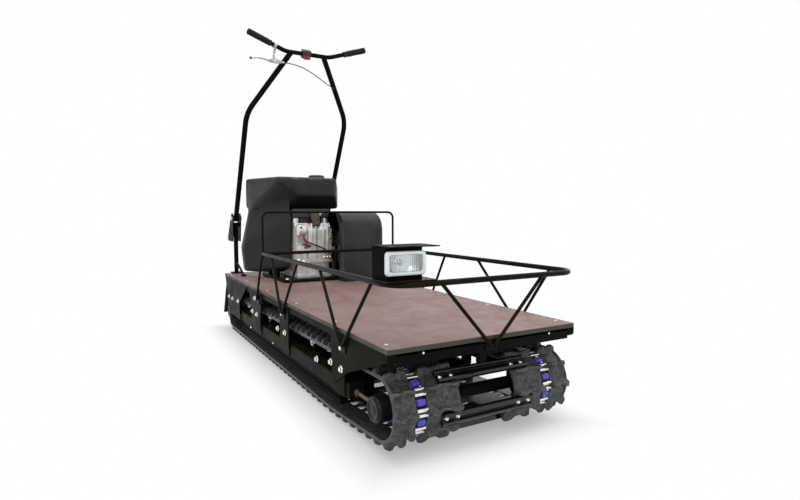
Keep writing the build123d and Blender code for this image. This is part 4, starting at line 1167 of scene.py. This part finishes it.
@dataclass
class Wheels:
    """The hubs at both ends, the threaded tensioners and the roller ends along the beams."""

    hub_form: Rows = (
        (0, 0.036), (0.003, 0.040), (0.034, 0.040), (0.040, 0.0392), (0.0445, 0.0368),
        (0.0475, 0.0330), (0.0480, 0.0300), (0.0476, 0.0275), (0.0458, 0.0245),
        (0.0450, 0.0200), (0.0450, 0.0130), (0.0462, 0.0110), (0.0464, 0.0040))
    hub_inner_y: float = 0.297
    carrier_y: float = 0.317
    carrier_soft: float = 0.0025
    carriers: tuple[tuple[str, float, float, Point], ...] = (
        ("idler", 0.030, 0.0, (0.036, 0.036, 0.040)),
        ("drive", -0.034, 0.020, (0.036, 0.036, 0.036)))
    rod_radius: float = 0.007
    thread_pitch: float = 0.0025
    thread_root: float = 0.88
    rod_nut: float = 0.0135
    rod_nuts: Rows = ((0.0, 0.012), (0.013, 0.009))
    nut_edge: float = 0.0012
    roller_backs: tuple[float, ...] = (705.5, 1283.0, 1684.0)
    roller_y: float = 0.291
    roller_axle: float = 0.004
    low_discs: Rows = ((1669, 0.084), (1255, 0.090))
    low_disc_y: float = 0.285
    disc_form: Rows = (
        (0, 0.0200), (0.0025, 0.0215), (0.0045, 0.0215), (0.0060, 0.0200), (0.0060, 0.0150),
        (0.0048, 0.0130), (0.0048, 0.0040))
    disc_bolt_out: float = 0.004
    roller_bolt: float = 0.009
    low_bolt: float = 0.008

    def hubs(self, name: str, carrier_back: float, carrier_rise: float,
             carrier_size: Point) -> None:
        """Build the hubs of one axle with the blocks that carry them.

        Args:
            name: Name of the axle: idler or drive.
            carrier_back: How far behind the axle the block's middle lies.
            carrier_rise: How far above the axle it lies.
            carrier_size: The block's sizes.
        """
        shape = Shape()
        axle = middle(name + "_axle")
        for side in SIDES:
            shape.turned((axle.x, side * self.hub_inner_y, axle.z), (0, side, 0),
                         self.hub_form, 0, 40)
            block = (axle.x - carrier_back, side * self.carrier_y, axle.z + carrier_rise)
            shape.slab(block, carrier_size, self.carrier_soft)
        shape.done(name + "_hubs_turned", "frame_black", [HUB_BLACK], [name + "_hubs"])

    def tensioners(self) -> None:
        """Build the threaded rods and their nuts."""
        shape = Shape()
        low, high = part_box("belt_tensioners")
        z = middle("belt_tensioners").z
        turns = int((high[0] - low[0]) / self.thread_pitch)
        thread = [(i * self.thread_pitch / 2,
                   self.rod_radius * (1.0 if i % 2 else self.thread_root))
                  for i in range(2 * turns)]
        nut, edge = self.rod_nut, self.nut_edge
        for side in SIDES:
            at = Vector((low[0], side * self.carrier_y, z))
            shape.turned(at, (1, 0, 0), thread, 0, 18)
            for start, tall in self.rod_nuts:
                form = ((0, nut * 0.9), (edge, nut), (tall - edge, nut), (tall, nut * 0.88))
                shape.turned(at + Vector((start, 0, 0)), (1, 0, 0), form, 0, 6)
        shape.done("tensioner_rods", "zinc_yellow", [GOLD_ZINC], ["belt_tensioners"])

    def roller_ends(self) -> None:
        """Build the bright discs and nuts on the return rollers and on the slide rails."""
        shape = Shape()
        low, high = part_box("return_axles")
        first, last = self.roller_backs[0], self.roller_backs[-1]
        for side in SIDES:
            for back in self.roller_backs:
                share = (back - first) / (last - first)
                z = high[2] - self.roller_axle - share * (high[2] - low[2] - 2 * self.roller_axle)
                self.disc(shape, side, (behind(back), self.roller_y, z), self.roller_bolt)
            for back, z in self.low_discs:
                self.disc(shape, side, (behind(back), self.low_disc_y, z), self.low_bolt)
        shape.done("roller_end_discs", "steel", [ZINC])

    def disc(self, shape: Shape, side: int, place: Point, bolt: float) -> None:
        """Add one end disc and its bolt.

        Args:
            shape: The mesh that the disc joins.
            side: -1 for the right, 1 for the left.
            place: The disc's place on the left side.
            bolt: The bolt's size.
        """
        at = Vector((place[0], side * place[1], place[2]))
        shape.turned(at, (0, side, 0), self.disc_form, 0, 30)
        shape.bolt(at + Vector((0, side * self.disc_bolt_out, 0)), (0, side, 0), bolt)

    def build(self) -> None:
        """Build the wheels' pieces."""
        for carrier in self.carriers:
            self.hubs(*carrier)
        self.tensioners()
        self.roller_ends()


@dataclass
class Chassis:
    """The welded frame with rounded edges, its plate bolts and the deck's screws."""

    bolt_size: float = 0.010
    plate_y: float = 0.350
    plate_bolts: Rows = (
        (1905, 0.215), (1817, 0.214), (1688, 0.218), (1335, 0.284), (1383, 0.214), (1305, 0.210),
        (906, 0.281), (968, 0.208), (874, 0.208), (299, 0.276), (387, 0.209), (303, 0.206))
    beam_bolt: tuple[float, float] = (535, 0.181)
    beam_y: float = 0.342
    screw_backs: tuple[float, ...] = (57, 411, 810, 1209, 1608, 1963)
    screw_y: float = 0.323
    screw_sink: float = 0.0004
    screw_form: Rows = ((0, 0.0062), (0.0008, 0.0060), (0.0014, 0.0048), (0.0016, 0.0030),
                        (0.0008, 0.0024), (0.0007, 0.0006))
    nose_bolt: float = 0.003
    nose_bolt_y: float = 0.237
    nose_bolt_z: float = 0.314
    softened: tuple[Softened, ...] = (
        Softened("side_beams", "frame_black", OLIVE_PAINT, 0.004),
        Softened("front_side_plates", "frame_black", OLIVE_PAINT, 0.0009),
        Softened("side_brackets", "frame_black", OLIVE_PAINT, 0.0009),
        Softened("beam_tabs", "frame_black", OLIVE_PAINT, 0.0009),
        Softened("deck_side_rails", "frame_black", OLIVE_PAINT, 0.003),
        Softened("deck_cross_members", "frame_black", BLACK_PAINT, 0.003),
        Softened("slide_rails", "frame_black", BLACK_PAINT, 0.002),
        Softened("deck_board", "deck_film", DeckFilm(), 0.0018),
        Softened("strut_feet", "frame_black", RAIL_PAINT, 0.0009))

    def fasteners(self) -> None:
        """Build the plates' bolts and the deck's screws."""
        shape = Shape()
        for side in SIDES:
            for back, z in self.plate_bolts:
                shape.bolt((behind(back), side * self.plate_y, z), (0, side, 0), self.bolt_size)
            back, z = self.beam_bolt
            shape.bolt((behind(back), side * self.beam_y, z), (0, side, 0), self.bolt_size)
            shape.bolt((DECK_HIGH[0], side * self.nose_bolt_y, self.nose_bolt_z), (1, 0, 0),
                       self.nose_bolt)
        shape.done("frame_bolts", "steel", [ZINC])
        screws = Shape()
        for side in SIDES:
            for back in self.screw_backs:
                screws.turned((behind(back), side * self.screw_y, DECK_HIGH[2] - self.screw_sink),
                              (0, 0, 1), self.screw_form, 0, 18)
        screws.done("deck_screws", "steel", [ZINC])

    def build(self) -> None:
        """Build the frame's pieces."""
        for piece in self.softened:
            piece.build()
        self.fasteners()


@dataclass
class WorkLamp:
    """The work lamp: pale bezel, fluted glass, bulb, rounded housing and its screws."""

    bezel_form: Rows = (
        (0.0, 1.0), (1.5, 0.0), (9.0, 0.0), (12.6, 1.8), (13.8, 4.6), (13.2, 8.4), (10.5, 10.4),
        (2.0, 11.6), (0.0, 11.0))
    corner: float = 0.011
    corner_least: float = 0.004
    corner_steps: int = 6
    glass_inset: float = 0.0095
    glass_out: float = 0.0085
    glass_crown: float = 0.0022
    glass_rows: int = 8
    flute_steps: int = 6
    flutes: int = 14
    flute_depth: float = 0.0007
    glass_thick: float = 0.003
    bulb_form: Rows = (
        (0, 0.0085), (0.004, 0.0085), (0.005, 0.0060), (0.013, 0.0060), (0.017, 0.0045),
        (0.019, 0.0015))
    bulb_out: float = 0.0062
    screw: float = 0.005
    screw_x: float = 0.030
    screw_ys: tuple[float, float] = (0.018, 0.042)

    def outline(self, inset: float, x: float) -> list[Vector]:
        """Give the bezel's rounded outline at one depth.

        Args:
            inset: How far inside the lens's box it lies, in metres.
            x: The depth.

        Returns:
            The outline's points.
        """
        low, high = corners("lamp_lens")
        centre = (low + high) / 2
        radius = max(self.corner - inset * 0.5, self.corner_least)
        flat_y, flat_z = ((high.y - low.y) / 2 - inset - radius,
                          (high.z - low.z) / 2 - inset - radius)
        points = []
        for quarter, (sign_y, sign_z) in enumerate(((1, 1), (-1, 1), (-1, -1), (1, -1))):
            for step in range(self.corner_steps + 1):
                angle = math.pi / 2 * (quarter + step / self.corner_steps)
                points.append(Vector((x, centre.y + sign_y * flat_y + radius * math.cos(angle),
                                      centre.z + sign_z * flat_z + radius * math.sin(angle))))
        return points

    def lens(self) -> None:
        """Build the bezel and the fluted glass."""
        low, high = corners("lamp_lens")
        shape = Shape()
        shape.loft([self.outline(inset / 1000, low.x + depth / 1000)
                    for depth, inset in self.bezel_form], 0, True)
        inset = self.glass_inset
        left, right = low.y + inset, high.y - inset
        bottom, top = low.z + inset, high.z - inset
        rings = []
        steps = self.flutes * self.flute_steps
        for i in range(steps + 1):
            share = i / steps
            wave = self.flute_depth * abs(math.sin(math.pi * self.flutes * share))
            front = []
            for k in range(self.glass_rows + 1):
                rise = k / self.glass_rows
                crown = (1 - (2 * share - 1) ** 2) * (1 - (2 * rise - 1) ** 2)
                front.append(Vector((low.x + self.glass_out + self.glass_crown * crown + wave,
                                     left + (right - left) * share,
                                     bottom + (top - bottom) * rise)))
            back = [point - Vector((self.glass_thick + wave, 0, 0)) for point in reversed(front)]
            rings.append(front + back)
        shape.loft(rings, 1)
        shape.done("lamp_lens_unit", "lens_glass", [LAMP_BEZEL, LampGlass()], ["lamp_lens"], 30)

    def bulb(self) -> None:
        """Build the bulb in its bowl and the bracket's screws."""
        shape = Shape()
        centre = middle("lamp_reflector")
        bowl = corners("lamp_reflector")[0].x
        shape.turned((bowl + self.bulb_out, centre.y, centre.z), (1, 0, 0), self.bulb_form, 0, 20)
        low, high = corners("lamp_bracket")
        for inward in self.screw_ys:
            shape.bolt((low.x + self.screw_x, high.y - inward, high.z), (0, 0, 1), self.screw)
        shape.done("lamp_bulb_and_screws", "steel", [CHROME])

    def build(self) -> None:
        """Build the lamp's pieces."""
        Softened("lamp_housing", "black_plastic", HOUSING_BLACK, 0.0012).build()
        Softened("lamp_bracket", "frame_black", RAIL_PAINT, 0.0008).build()
        self.lens()
        self.bulb()


@dataclass
class Engine:
    """The engine's rounded castings with the bolts, fittings and boot on its front."""

    front: float = 1455.0
    bolts: Rows = (
        (-0.059, 0.436, 0.010), (0.059, 0.457, 0.008), (0.076, 0.456, 0.007),
        (0.092, 0.456, 0.009), (-0.074, 0.500, 0.008), (0.088, 0.620, 0.007),
        (0.088, 0.560, 0.006), (-0.084, 0.445, 0.008))
    sink: float = 0.0005
    ribs: Rows = ((-0.016, 0.565, 0.150), (0.052, 0.565, 0.140), (0.076, 0.560, 0.150))
    rib_size: tuple[float, float] = (0.009, 0.010)
    rib_soft: float = 0.003
    fitting: tuple[float, float] = (-0.053, 0.515)
    fitting_forms: tuple[tuple[float, int, Rows], ...] = (
        (0, 24, ((0, 0.020), (0.003, 0.020), (0.004, 0.018))),
        (0.003, 6, ((0, 0.0155), (0.008, 0.0155), (0.010, 0.0135))),
        (0.012, 18, ((0, 0.009), (0.009, 0.009), (0.011, 0.007))))
    fitting_bolt: Point = (0.026, 0.004, 0.007)
    starter_nut: Point = (-0.004, -0.010, 0.016)
    starter_nut_form: Rows = ((0, 0.0065), (0.006, 0.0065), (0.008, 0.004))
    starter_form: Rows = (
        (0, 0.70), (0.06, 0.86), (0.10, 0.97), (0.14, 1.0), (0.34, 1.0), (0.36, 0.965),
        (0.40, 0.965), (0.42, 1.0), (0.86, 1.0), (0.90, 0.97), (0.94, 0.86), (1.0, 0.70))
    boot_top: tuple[float, float] = (-0.0712, 0.5660)
    boot_low: tuple[float, float] = (-0.0560, 0.5380)
    boot_form: Rows = ((0, 0.0058), (0.003, 0.0075))
    boot_end: Rows = ((0.6, 0.0070), (1, 0.0052))
    air_block_back: float = 1490.0
    air_block: Point = (0.004, 0.045, 0.688)
    air_block_size: Point = (0.012, 0.020, 0.024)
    air_block_soft: float = 0.002
    stub_low: Point = (-0.4195, 0.020, 0.628)
    stub_high: Point = (-0.4330, 0.010, 0.706)
    stub_form: Rows = ((0, 0.0215), (0.006, 0.0235), (0.012, 0.0235), (0.014, 0.0200),
                       (0.050, 0.0260), (0.070, 0.0270))
    foot_back: float = 1425.0
    foot_bolt: Point = (-0.160, 0.352, 0.010)

    def castings(self) -> None:
        """Round the edges of the engine's solids."""
        for piece in (Softened("engine_crankcase", "engine_alloy", CAST_SILVER, 0.005),
                      Softened("engine_cylinder", "engine_alloy", CAST_GREY, 0.0012, steps=2),
                      Softened("engine_muffler", "muffler_steel", SOOT_STEEL, 0.010),
                      Softened("engine_base", "frame_black", BLACK_PAINT, 0.0015),
                      Softened("air_box", "black_plastic", SWITCH_BLACK, 0.005)):
            piece.build()

    def fittings(self) -> None:
        """Build the bolts, ribs, oil fitting and intake stub on the crankcase's front."""
        x = behind(self.front)
        shape = Shape()
        for y, z, size in self.bolts:
            shape.bolt((x - self.sink, y, z), (1, 0, 0), size)
        y, z, size = self.foot_bolt
        shape.bolt((behind(self.foot_back), y, z), (0, 0, 1), size)
        ahead, y, z = self.air_block
        shape.slab((behind(self.air_block_back) + ahead, y, z), self.air_block_size,
                   self.air_block_soft)
        shape.done("engine_bolts", "steel", [ZINC])
        cast = Shape()
        for y, z, tall in self.ribs:
            cast.slab((x, y, z), (*self.rib_size, tall), self.rib_soft)
        cast.done("crankcase_ribs", "engine_alloy", [CAST_SILVER])
        brass = Shape()
        at = Vector((x - self.sink, *self.fitting))
        for ahead, sides, form in self.fitting_forms:
            brass.turned(at + Vector((ahead, 0, 0)), (1, 0, 0), form, 0, sides)
        y, z, size = self.fitting_bolt
        brass.bolt(at + Vector((0, y, z)), (1, 0, 0), size)
        starter = middle("starter_motor")
        starter.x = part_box("starter_motor")[1][0]
        brass.turned(starter + Vector(self.starter_nut), (1, 0, 0), self.starter_nut_form, 0, 6)
        brass.done("oil_fitting", "zinc_yellow", [GOLD_ZINC])
        stub = Shape()
        low, high = Vector(self.stub_low), Vector(self.stub_high)
        stub.turned(low, high - low, self.stub_form, 0, 28)
        stub.done("intake_stub", "muffler_steel", [INTAKE_BROWN])

    def starter(self) -> None:
        """Build the starter motor with its end caps and band."""
        shape = Shape()
        low, high = corners("starter_motor")
        radius, length = (high.z - low.z) / 2, high.y - low.y
        centre = (low + high) / 2
        form = [(share * length, size * radius) for share, size in self.starter_form]
        shape.turned((centre.x, low.y, centre.z), (0, 1, 0), form, 0, 36)
        shape.done("starter_body", "steel", [CAST_SILVER], ["starter_motor"])

    def boot(self) -> None:
        """Build the red boot over the lead's upper end."""
        shape = Shape()
        top, low = (Vector((LEAD_ROUTE[0][0], *end)) for end in (self.boot_top, self.boot_low))
        reach = (low - top).length
        form = [*self.boot_form, *((share * reach, radius) for share, radius in self.boot_end)]
        shape.turned(top, low - top, form, 0, 20)
        shape.done("lead_boot", "red_plastic", [SIGNAL_RED])

    def build(self) -> None:
        """Build the engine's pieces."""
        self.castings()
        self.fittings()
        self.starter()
        self.boot()


@dataclass
class TankAndCover:
    """The softly creased tank with its ribbed cap, and the belt cover's bead."""

    tank_grain: float = 0.006
    tank_passes: int = 30
    cap_ribs: int = 36
    cap_form: Rows = (
        (0, 0.93, 0), (0.06, 0.97, 0), (0.12, 0.975, 1), (0.74, 0.975, 1), (0.82, 0.95, 0),
        (0.93, 0.86, 0), (0.97, 0.70, 0), (0.90, 0.62, 0), (0.90, 0.10, 0))
    cap_rib: float = 0.024
    mouth_at: tuple[float, float] = (1574.0, 0.540)
    mouth_radius: float = 0.227
    mouth_front: float = 1366.0
    mouth_turn: tuple[float, float] = (-23.0, 42.0)
    mouth_y: float = 0.1055
    mouth_steps: int = 24
    mouth_foot: tuple[float, float] = (0.340, 0.395)
    bead: float = 0.0026
    screw: float = 0.006
    screw_shares: tuple[float, float] = (0.22, 0.78)
    screw_sink: float = 0.0005
    screw_rise: float = 0.030

    def tank(self) -> None:
        """Build the tank with the soft edges of moulded plastic."""
        shape = Shape()
        shape.mesh.from_mesh(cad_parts["fuel_tank"].data)
        bmesh.ops.remove_doubles(shape.mesh, verts=shape.mesh.verts[:], dist=WELD)
        for face in shape.mesh.faces:
            face.material_index = 0
        tank = shape.done("fuel_tank_moulded", "tank_plastic", [TANK_BLACK], ["fuel_tank"], 180)
        grain = tank.modifiers.new("even_grain", "REMESH")
        grain.mode = "VOXEL"
        grain.voxel_size = self.tank_grain
        grain.use_smooth_shade = True
        soft = tank.modifiers.new("soft_edges", "SMOOTH")
        soft.factor = 0.5
        soft.iterations = self.tank_passes

    def cap(self) -> None:
        """Build the fuel cap with grip ribs."""
        shape = Shape()
        low, high = corners("fuel_cap")
        centre, radius, tall = (low + high) / 2, (high.x - low.x) / 2, high.z - low.z
        count = self.cap_ribs * 4
        rings = []
        for rise, size, ribbed in self.cap_form:
            ring = []
            for i in range(count):
                angle = TURN * i / count
                reach = radius * (size + (self.cap_rib if ribbed and i % 4 < 2 else 0.0))
                ring.append((centre.x + reach * math.cos(angle), centre.y + reach * math.sin(angle),
                             low.z + rise * tall))
            rings.append(ring)
        shape.loft(rings)
        shape.done("fuel_cap_ribbed", "black_plastic", [SWITCH_BLACK], ["fuel_cap"])

    def rim(self) -> None:
        """Build the bead round the cover's mouth and the screws on its lip."""
        shape = Shape()
        centre_x = behind(self.mouth_at[0])
        start, end = self.mouth_turn
        line = [Vector((behind(self.mouth_front), self.mouth_y, z)) for z in self.mouth_foot]
        for i in range(self.mouth_steps + 1):
            angle = math.radians(start + (end - start) * i / self.mouth_steps)
            line.append(Vector((centre_x + self.mouth_radius * math.cos(angle), self.mouth_y,
                                self.mouth_at[1] + self.mouth_radius * math.sin(angle))))
        shape.tube(line, self.bead, 0, 10)
        shape.done("cover_mouth_bead", "cover_black", [COVER_BLACK])
        low, high = corners("drive_cover")
        screws = Shape()
        for share in self.screw_shares:
            screws.bolt((low.x + (high.x - low.x) * share, high.y - self.screw_sink,
                         low.z + self.screw_rise), (0, 1, 0), self.screw)
        screws.done("cover_screws", "steel", [ZINC])

    def build(self) -> None:
        """Build the tank's and the cover's pieces."""
        self.tank()
        self.cap()
        self.rim()


@dataclass
class Handle:
    """The folding handlebar's grips and controls, and the bolts of its hinge."""

    upright_y: float = 0.286
    hinge_bolt: float = 0.010
    clevis_half: float = 0.024
    bar_end: tuple[float, float] = (0.321, 1.053)
    bar_knee: tuple[float, float] = (0.120, 0.985)
    grip_length: float = 0.128
    grip_radius: float = 0.0142
    grip_front: Rows = ((0.0, 0.010), (0.0012, 0.0138), (0.0040, 0.0158), (0.0075, 0.0158),
                        (0.0090, 0.0142))
    rings_from: float = 0.0095
    rings_short: float = 0.022
    ring_form: Rows = ((0.0, 0.0), (0.25, 1.0), (0.6, 1.0), (0.85, 0.0))
    grip_end: Rows = ((0.008, 0.0142), (0.006, 0.0158), (0.002, 0.0158), (0, 0.0115))
    ring_pitch: float = 0.0064
    ring_rise: float = 0.0016
    lever_out: float = 0.018
    lever_t: float = 0.931
    neck: Rows = (
        (-0.1790, 0.998, 0.0055, 0.0040), (-0.1820, 0.980, 0.0058, 0.0040),
        (-0.1840, 0.960, 0.0060, 0.0040), (-0.1820, 0.945, 0.0085, 0.0045),
        (-0.1800, 0.936, 0.0110, 0.0045))
    lever_body: Rows = (
        (-0.2120, 0.9305, 0.0045, 0.0045), (-0.2050, 0.931, 0.0080, 0.0055),
        (-0.1900, 0.932, 0.0115, 0.0060), (-0.1650, 0.932, 0.0115, 0.0060),
        (-0.1480, 0.931, 0.0080, 0.0055), (-0.1380, 0.931, 0.0060, 0.0050))
    blade: Rows = (
        (-0.2050, 0.9315, 0.0048, 0.0030), (-0.2250, 0.934, 0.0045, 0.0030),
        (-0.2500, 0.9365, 0.0040, 0.0030), (-0.2700, 0.9355, 0.0036, 0.0030),
        (-0.2890, 0.9315, 0.0032, 0.0030))
    strap_form: Rows = ((1, 0.5), (0.8, 1), (-0.8, 1), (-1, 0.5), (-1, -0.5), (-0.8, -1),
                        (0.8, -1), (1, -0.5))
    clamp_from_end: float = 0.143
    clamp_form: Rows = (
        (0, 0.0125), (0, 0.0158), (0.0012, 0.0168), (0.0128, 0.0168), (0.014, 0.0158),
        (0.014, 0.0125))
    barrel_y: float = -0.139
    barrel_form: Rows = (
        (0, 0.0046), (0.001, 0.0058), (0.004, 0.0058), (0.0046, 0.0046), (0.006, 0.0046),
        (0.0066, 0.0056), (0.0115, 0.0056), (0.0125, 0.0044), (0.0150, 0.0040))
    rocker_at: Point = (-0.009, 0.9715, 0.0205)
    rocker_size: Point = (0.013, 0.036, 0.019)
    rocker_soft: float = 0.004
    lever_screw: float = 0.0042
    lever_screws: tuple[Point, ...] = ((-0.1838, 0.962, 0.022), (-0.172, 0.933, 0.024))

    def hinge(self) -> None:
        """Build the hinge bolts' heads."""
        shape = Shape()
        for side in SIDES:
            for way in SIDES:
                y = side * self.upright_y + way * self.clevis_half
                shape.bolt((behind(PIVOT_BACK), y, PIVOT_Z), (0, way, 0), self.hinge_bolt)
        shape.done("hinge_bolt_heads", "steel", [ZINC])

    def grips(self) -> None:
        """Build the ringed grips with their flanges."""
        shape = Shape()
        form = list(self.grip_front)
        for i in range(int((self.grip_length - self.rings_short) / self.ring_pitch)):
            start = self.rings_from + i * self.ring_pitch
            form += [(start + share * self.ring_pitch, self.grip_radius + rise * self.ring_rise)
                     for share, rise in self.ring_form]
        form += [(self.grip_length - left, radius) for left, radius in self.grip_end]
        for side in SIDES:
            end, way = self.bar_line(side)
            shape.turned(end, way, form, 0, 28)
        shape.done("grips_ringed", "grip_rubber", [GRIP_RUBBER], ["grips"], body=Body.HANDLEBAR)

    def bar_line(self, side: int) -> tuple[Vector, Vector]:
        """Give one end of the bar and the direction from it to the bar's knee.

        Args:
            side: -1 for the right, 1 for the left.

        Returns:
            The end and the direction.
        """
        end, knee = (lean_point(side * y, t, 0.0) for y, t in (self.bar_end, self.bar_knee))
        return end, (knee - end).normalized()

    def controls(self) -> None:
        """Build the lever, round the switch, and add its red rocker and the lever's screws."""
        lever = Shape()
        for stations in (self.neck, self.lever_body, self.blade):
            self.strap(lever, stations)
        end, way = self.bar_line(-1)
        lever.turned(end + way * self.clamp_from_end, way, self.clamp_form, 0, 28)
        barrel = lean_point(self.barrel_y, self.lever_t, self.lever_out)
        lever.turned(barrel, (0, 1, 0), self.barrel_form, 0, 20)
        lever.done("hand_lever_shaped", "lever_alloy", [LEVER_STEEL], ["hand_lever"],
                   body=Body.HANDLEBAR)
        Softened("stop_switch", "black_plastic", SWITCH_BLACK, 0.004, Body.HANDLEBAR).build()
        rocker = Shape()
        rocker.slab(lean_point(*self.rocker_at), self.rocker_size, self.rocker_soft, 0,
                    Matrix.Rotation(LEAN, 4, "Y"))
        rocker.done("stop_rocker", "red_plastic", [SIGNAL_RED], ["stop_button"],
                    body=Body.HANDLEBAR)
        screws = Shape()
        out = lean_point(0, 0, 1) - lean_point(0, 0, 0)
        for y, t, front in self.lever_screws:
            screws.bolt(lean_point(y, t, front), out, self.lever_screw)
        screws.done("lever_screws", "steel", [ZINC], body=Body.HANDLEBAR)

    def strap(self, shape: Shape, stations: Sequence[Place]) -> None:
        """Add a flat, rounded bar that lies in the handlebar's leaning plane.

        Args:
            shape: The mesh that the bar joins.
            stations: For each place along the bar: y, t, half its width and half its thickness.
        """
        rings = []
        for i, (y, t, half, thick) in enumerate(stations):
            before, after = stations[max(i - 1, 0)], stations[min(i + 1, len(stations) - 1)]
            way = Vector((after[0] - before[0], after[1] - before[1])).normalized()
            rings.append([lean_point(y - way.y * half * across, t + way.x * half * across,
                                     self.lever_out + out * thick)
                          for across, out in self.strap_form])
        shape.loft(rings)

    def build(self) -> None:
        """Build the handlebar's pieces."""
        Softened("handlebar_posts", "frame_black", BLACK_PAINT, 0.0012, steps=2).build()
        self.hinge()
        self.grips()
        self.controls()


LEAD_ROUTE: tuple[Point, ...] = tuple((behind(1422), y, z) for y, z in (
    (-0.072, 0.5707), (-0.064, 0.5470), (-0.028, 0.5340), (0.014, 0.5175), (0.054, 0.4985),
    (0.086, 0.4640), (0.094, 0.4054), (0.095, 0.3523)))
CABLE_ROUTE: tuple[Point, ...] = tuple(tuple(lean_point(y, t, 0.018)) for y, t in (
    (-0.1237, 0.931), (-0.074, 0.929), (-0.024, 0.919), (0.026, 0.900), (0.076, 0.875),
    (0.126, 0.849), (0.1739, 0.827)))


@dataclass(frozen=True)
class Cord:
    """A free lead or cable on one smooth curve."""

    name: str
    node: str
    route: tuple[Point, ...]
    diameter: float
    length: float
    body: Body
    lay: str

    def build(self) -> None:
        curve = bpy.data.curves.new(self.name, "CURVE")
        curve.dimensions = "3D"
        curve.bevel_depth = self.diameter / 2
        curve.bevel_resolution = 5
        curve.resolution_u = 16
        curve.use_fill_caps = True
        spline = curve.splines.new("NURBS")
        spline.points.add(len(self.route) - 1)
        for point, place in zip(spline.points, self.route):
            point.co = (*place, 1.0)
        spline.order_u = 3
        spline.use_endpoint_u = True
        curve.materials.append(CABLE_BLACK.material())
        piece = bpy.data.objects.new(self.name, curve)
        bpy.context.collection.objects.link(piece)
        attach(piece, self.body.value)
        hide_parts(self.node)
        log.info("laid %s, %.3f m long", self.name, self.length)


CORDS = (
    Cord("starter_lead", "starter_cable", LEAD_ROUTE, 0.008, 0.305, Body.CHASSIS, "hanging"),
    Cord("lever_cable", "control_cable", CABLE_ROUTE, 0.005, 0.317, Body.HANDLEBAR, "hanging"),
)


@dataclass
class Machine:
    """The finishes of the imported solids, also of those that a piece stands for."""

    finishes: tuple[tuple[Surface, str], ...] = (
        (DeckFilm(), "deck_board"),
        (OLIVE_PAINT, "deck_side_rails front_side_plates side_brackets side_beams beam_tabs"),
        (BLACK_PAINT, "deck_cross_members cross_tubes slide_rails slide_hangers track_cross_bars "
                      "idler_axle drive_axle tow_tongue lamp_bracket engine_base tank_feet "
                      "handlebar_posts handlebar upright_right upright_left"),
        (RAIL_PAINT, "guard_rail_front guard_rail_sides engine_guard_hoop rail_struts_right "
                     "rail_struts_left rail_struts_front strut_feet"),
        (SLIDE_PLASTIC, "slide_shoes return_rollers"),
        (RUBBER, "track_belt_right track_belt_left"),
        (FLAP_RUBBER, "mud_flaps"),
        (TOOTH_BLUE, "idler_sprockets drive_sprockets"),
        (HUB_BLACK, "idler_hubs drive_hubs"),
        (GOLD_ZINC, "belt_tensioners"),
        (ZINC, "return_axles hinge_bolts"),
        (SWITCH_BLACK, "lamp_housing air_box fuel_cap stop_switch"),
        (LampGlass(), "lamp_lens"),
        (CHROME, "lamp_reflector"),
        (CAST_SILVER, "engine_crankcase starter_motor"),
        (CAST_GREY, "engine_cylinder drive_pulley driven_pulley"),
        (SOOT_STEEL, "engine_muffler"),
        (TANK_BLACK, "fuel_tank"),
        (COVER_BLACK, "drive_cover"),
        (GRIP_RUBBER, "grips"),
        (LEVER_STEEL, "hand_lever"),
        (SIGNAL_RED, "lever_tip stop_button"),
        (CABLE_BLACK, "starter_cable control_cable"))

    def build(self) -> None:
        """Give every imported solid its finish."""
        for finish, nodes in self.finishes:
            for node in nodes.split():
                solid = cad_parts[node]
                solid.data.materials.clear()
                solid.data.materials.append(finish.material())
                log.info("dressed %s in %s", node, finish.name)


def main() -> None:
    """Build the studio and the machine's sub-assemblies in order."""
    logging.basicConfig(level=logging.INFO, format="%(message)s")
    Studio().build()
    Machine().build()
    for cord in CORDS:
        cord.build()
    for assembly in (Chassis(), Track(), Wheels(), WorkLamp(), Engine(), TankAndCover(), Handle()):
        assembly.build()
        log.info("finished %s", type(assembly).__name__)


if __name__ == "__main__":
    main()
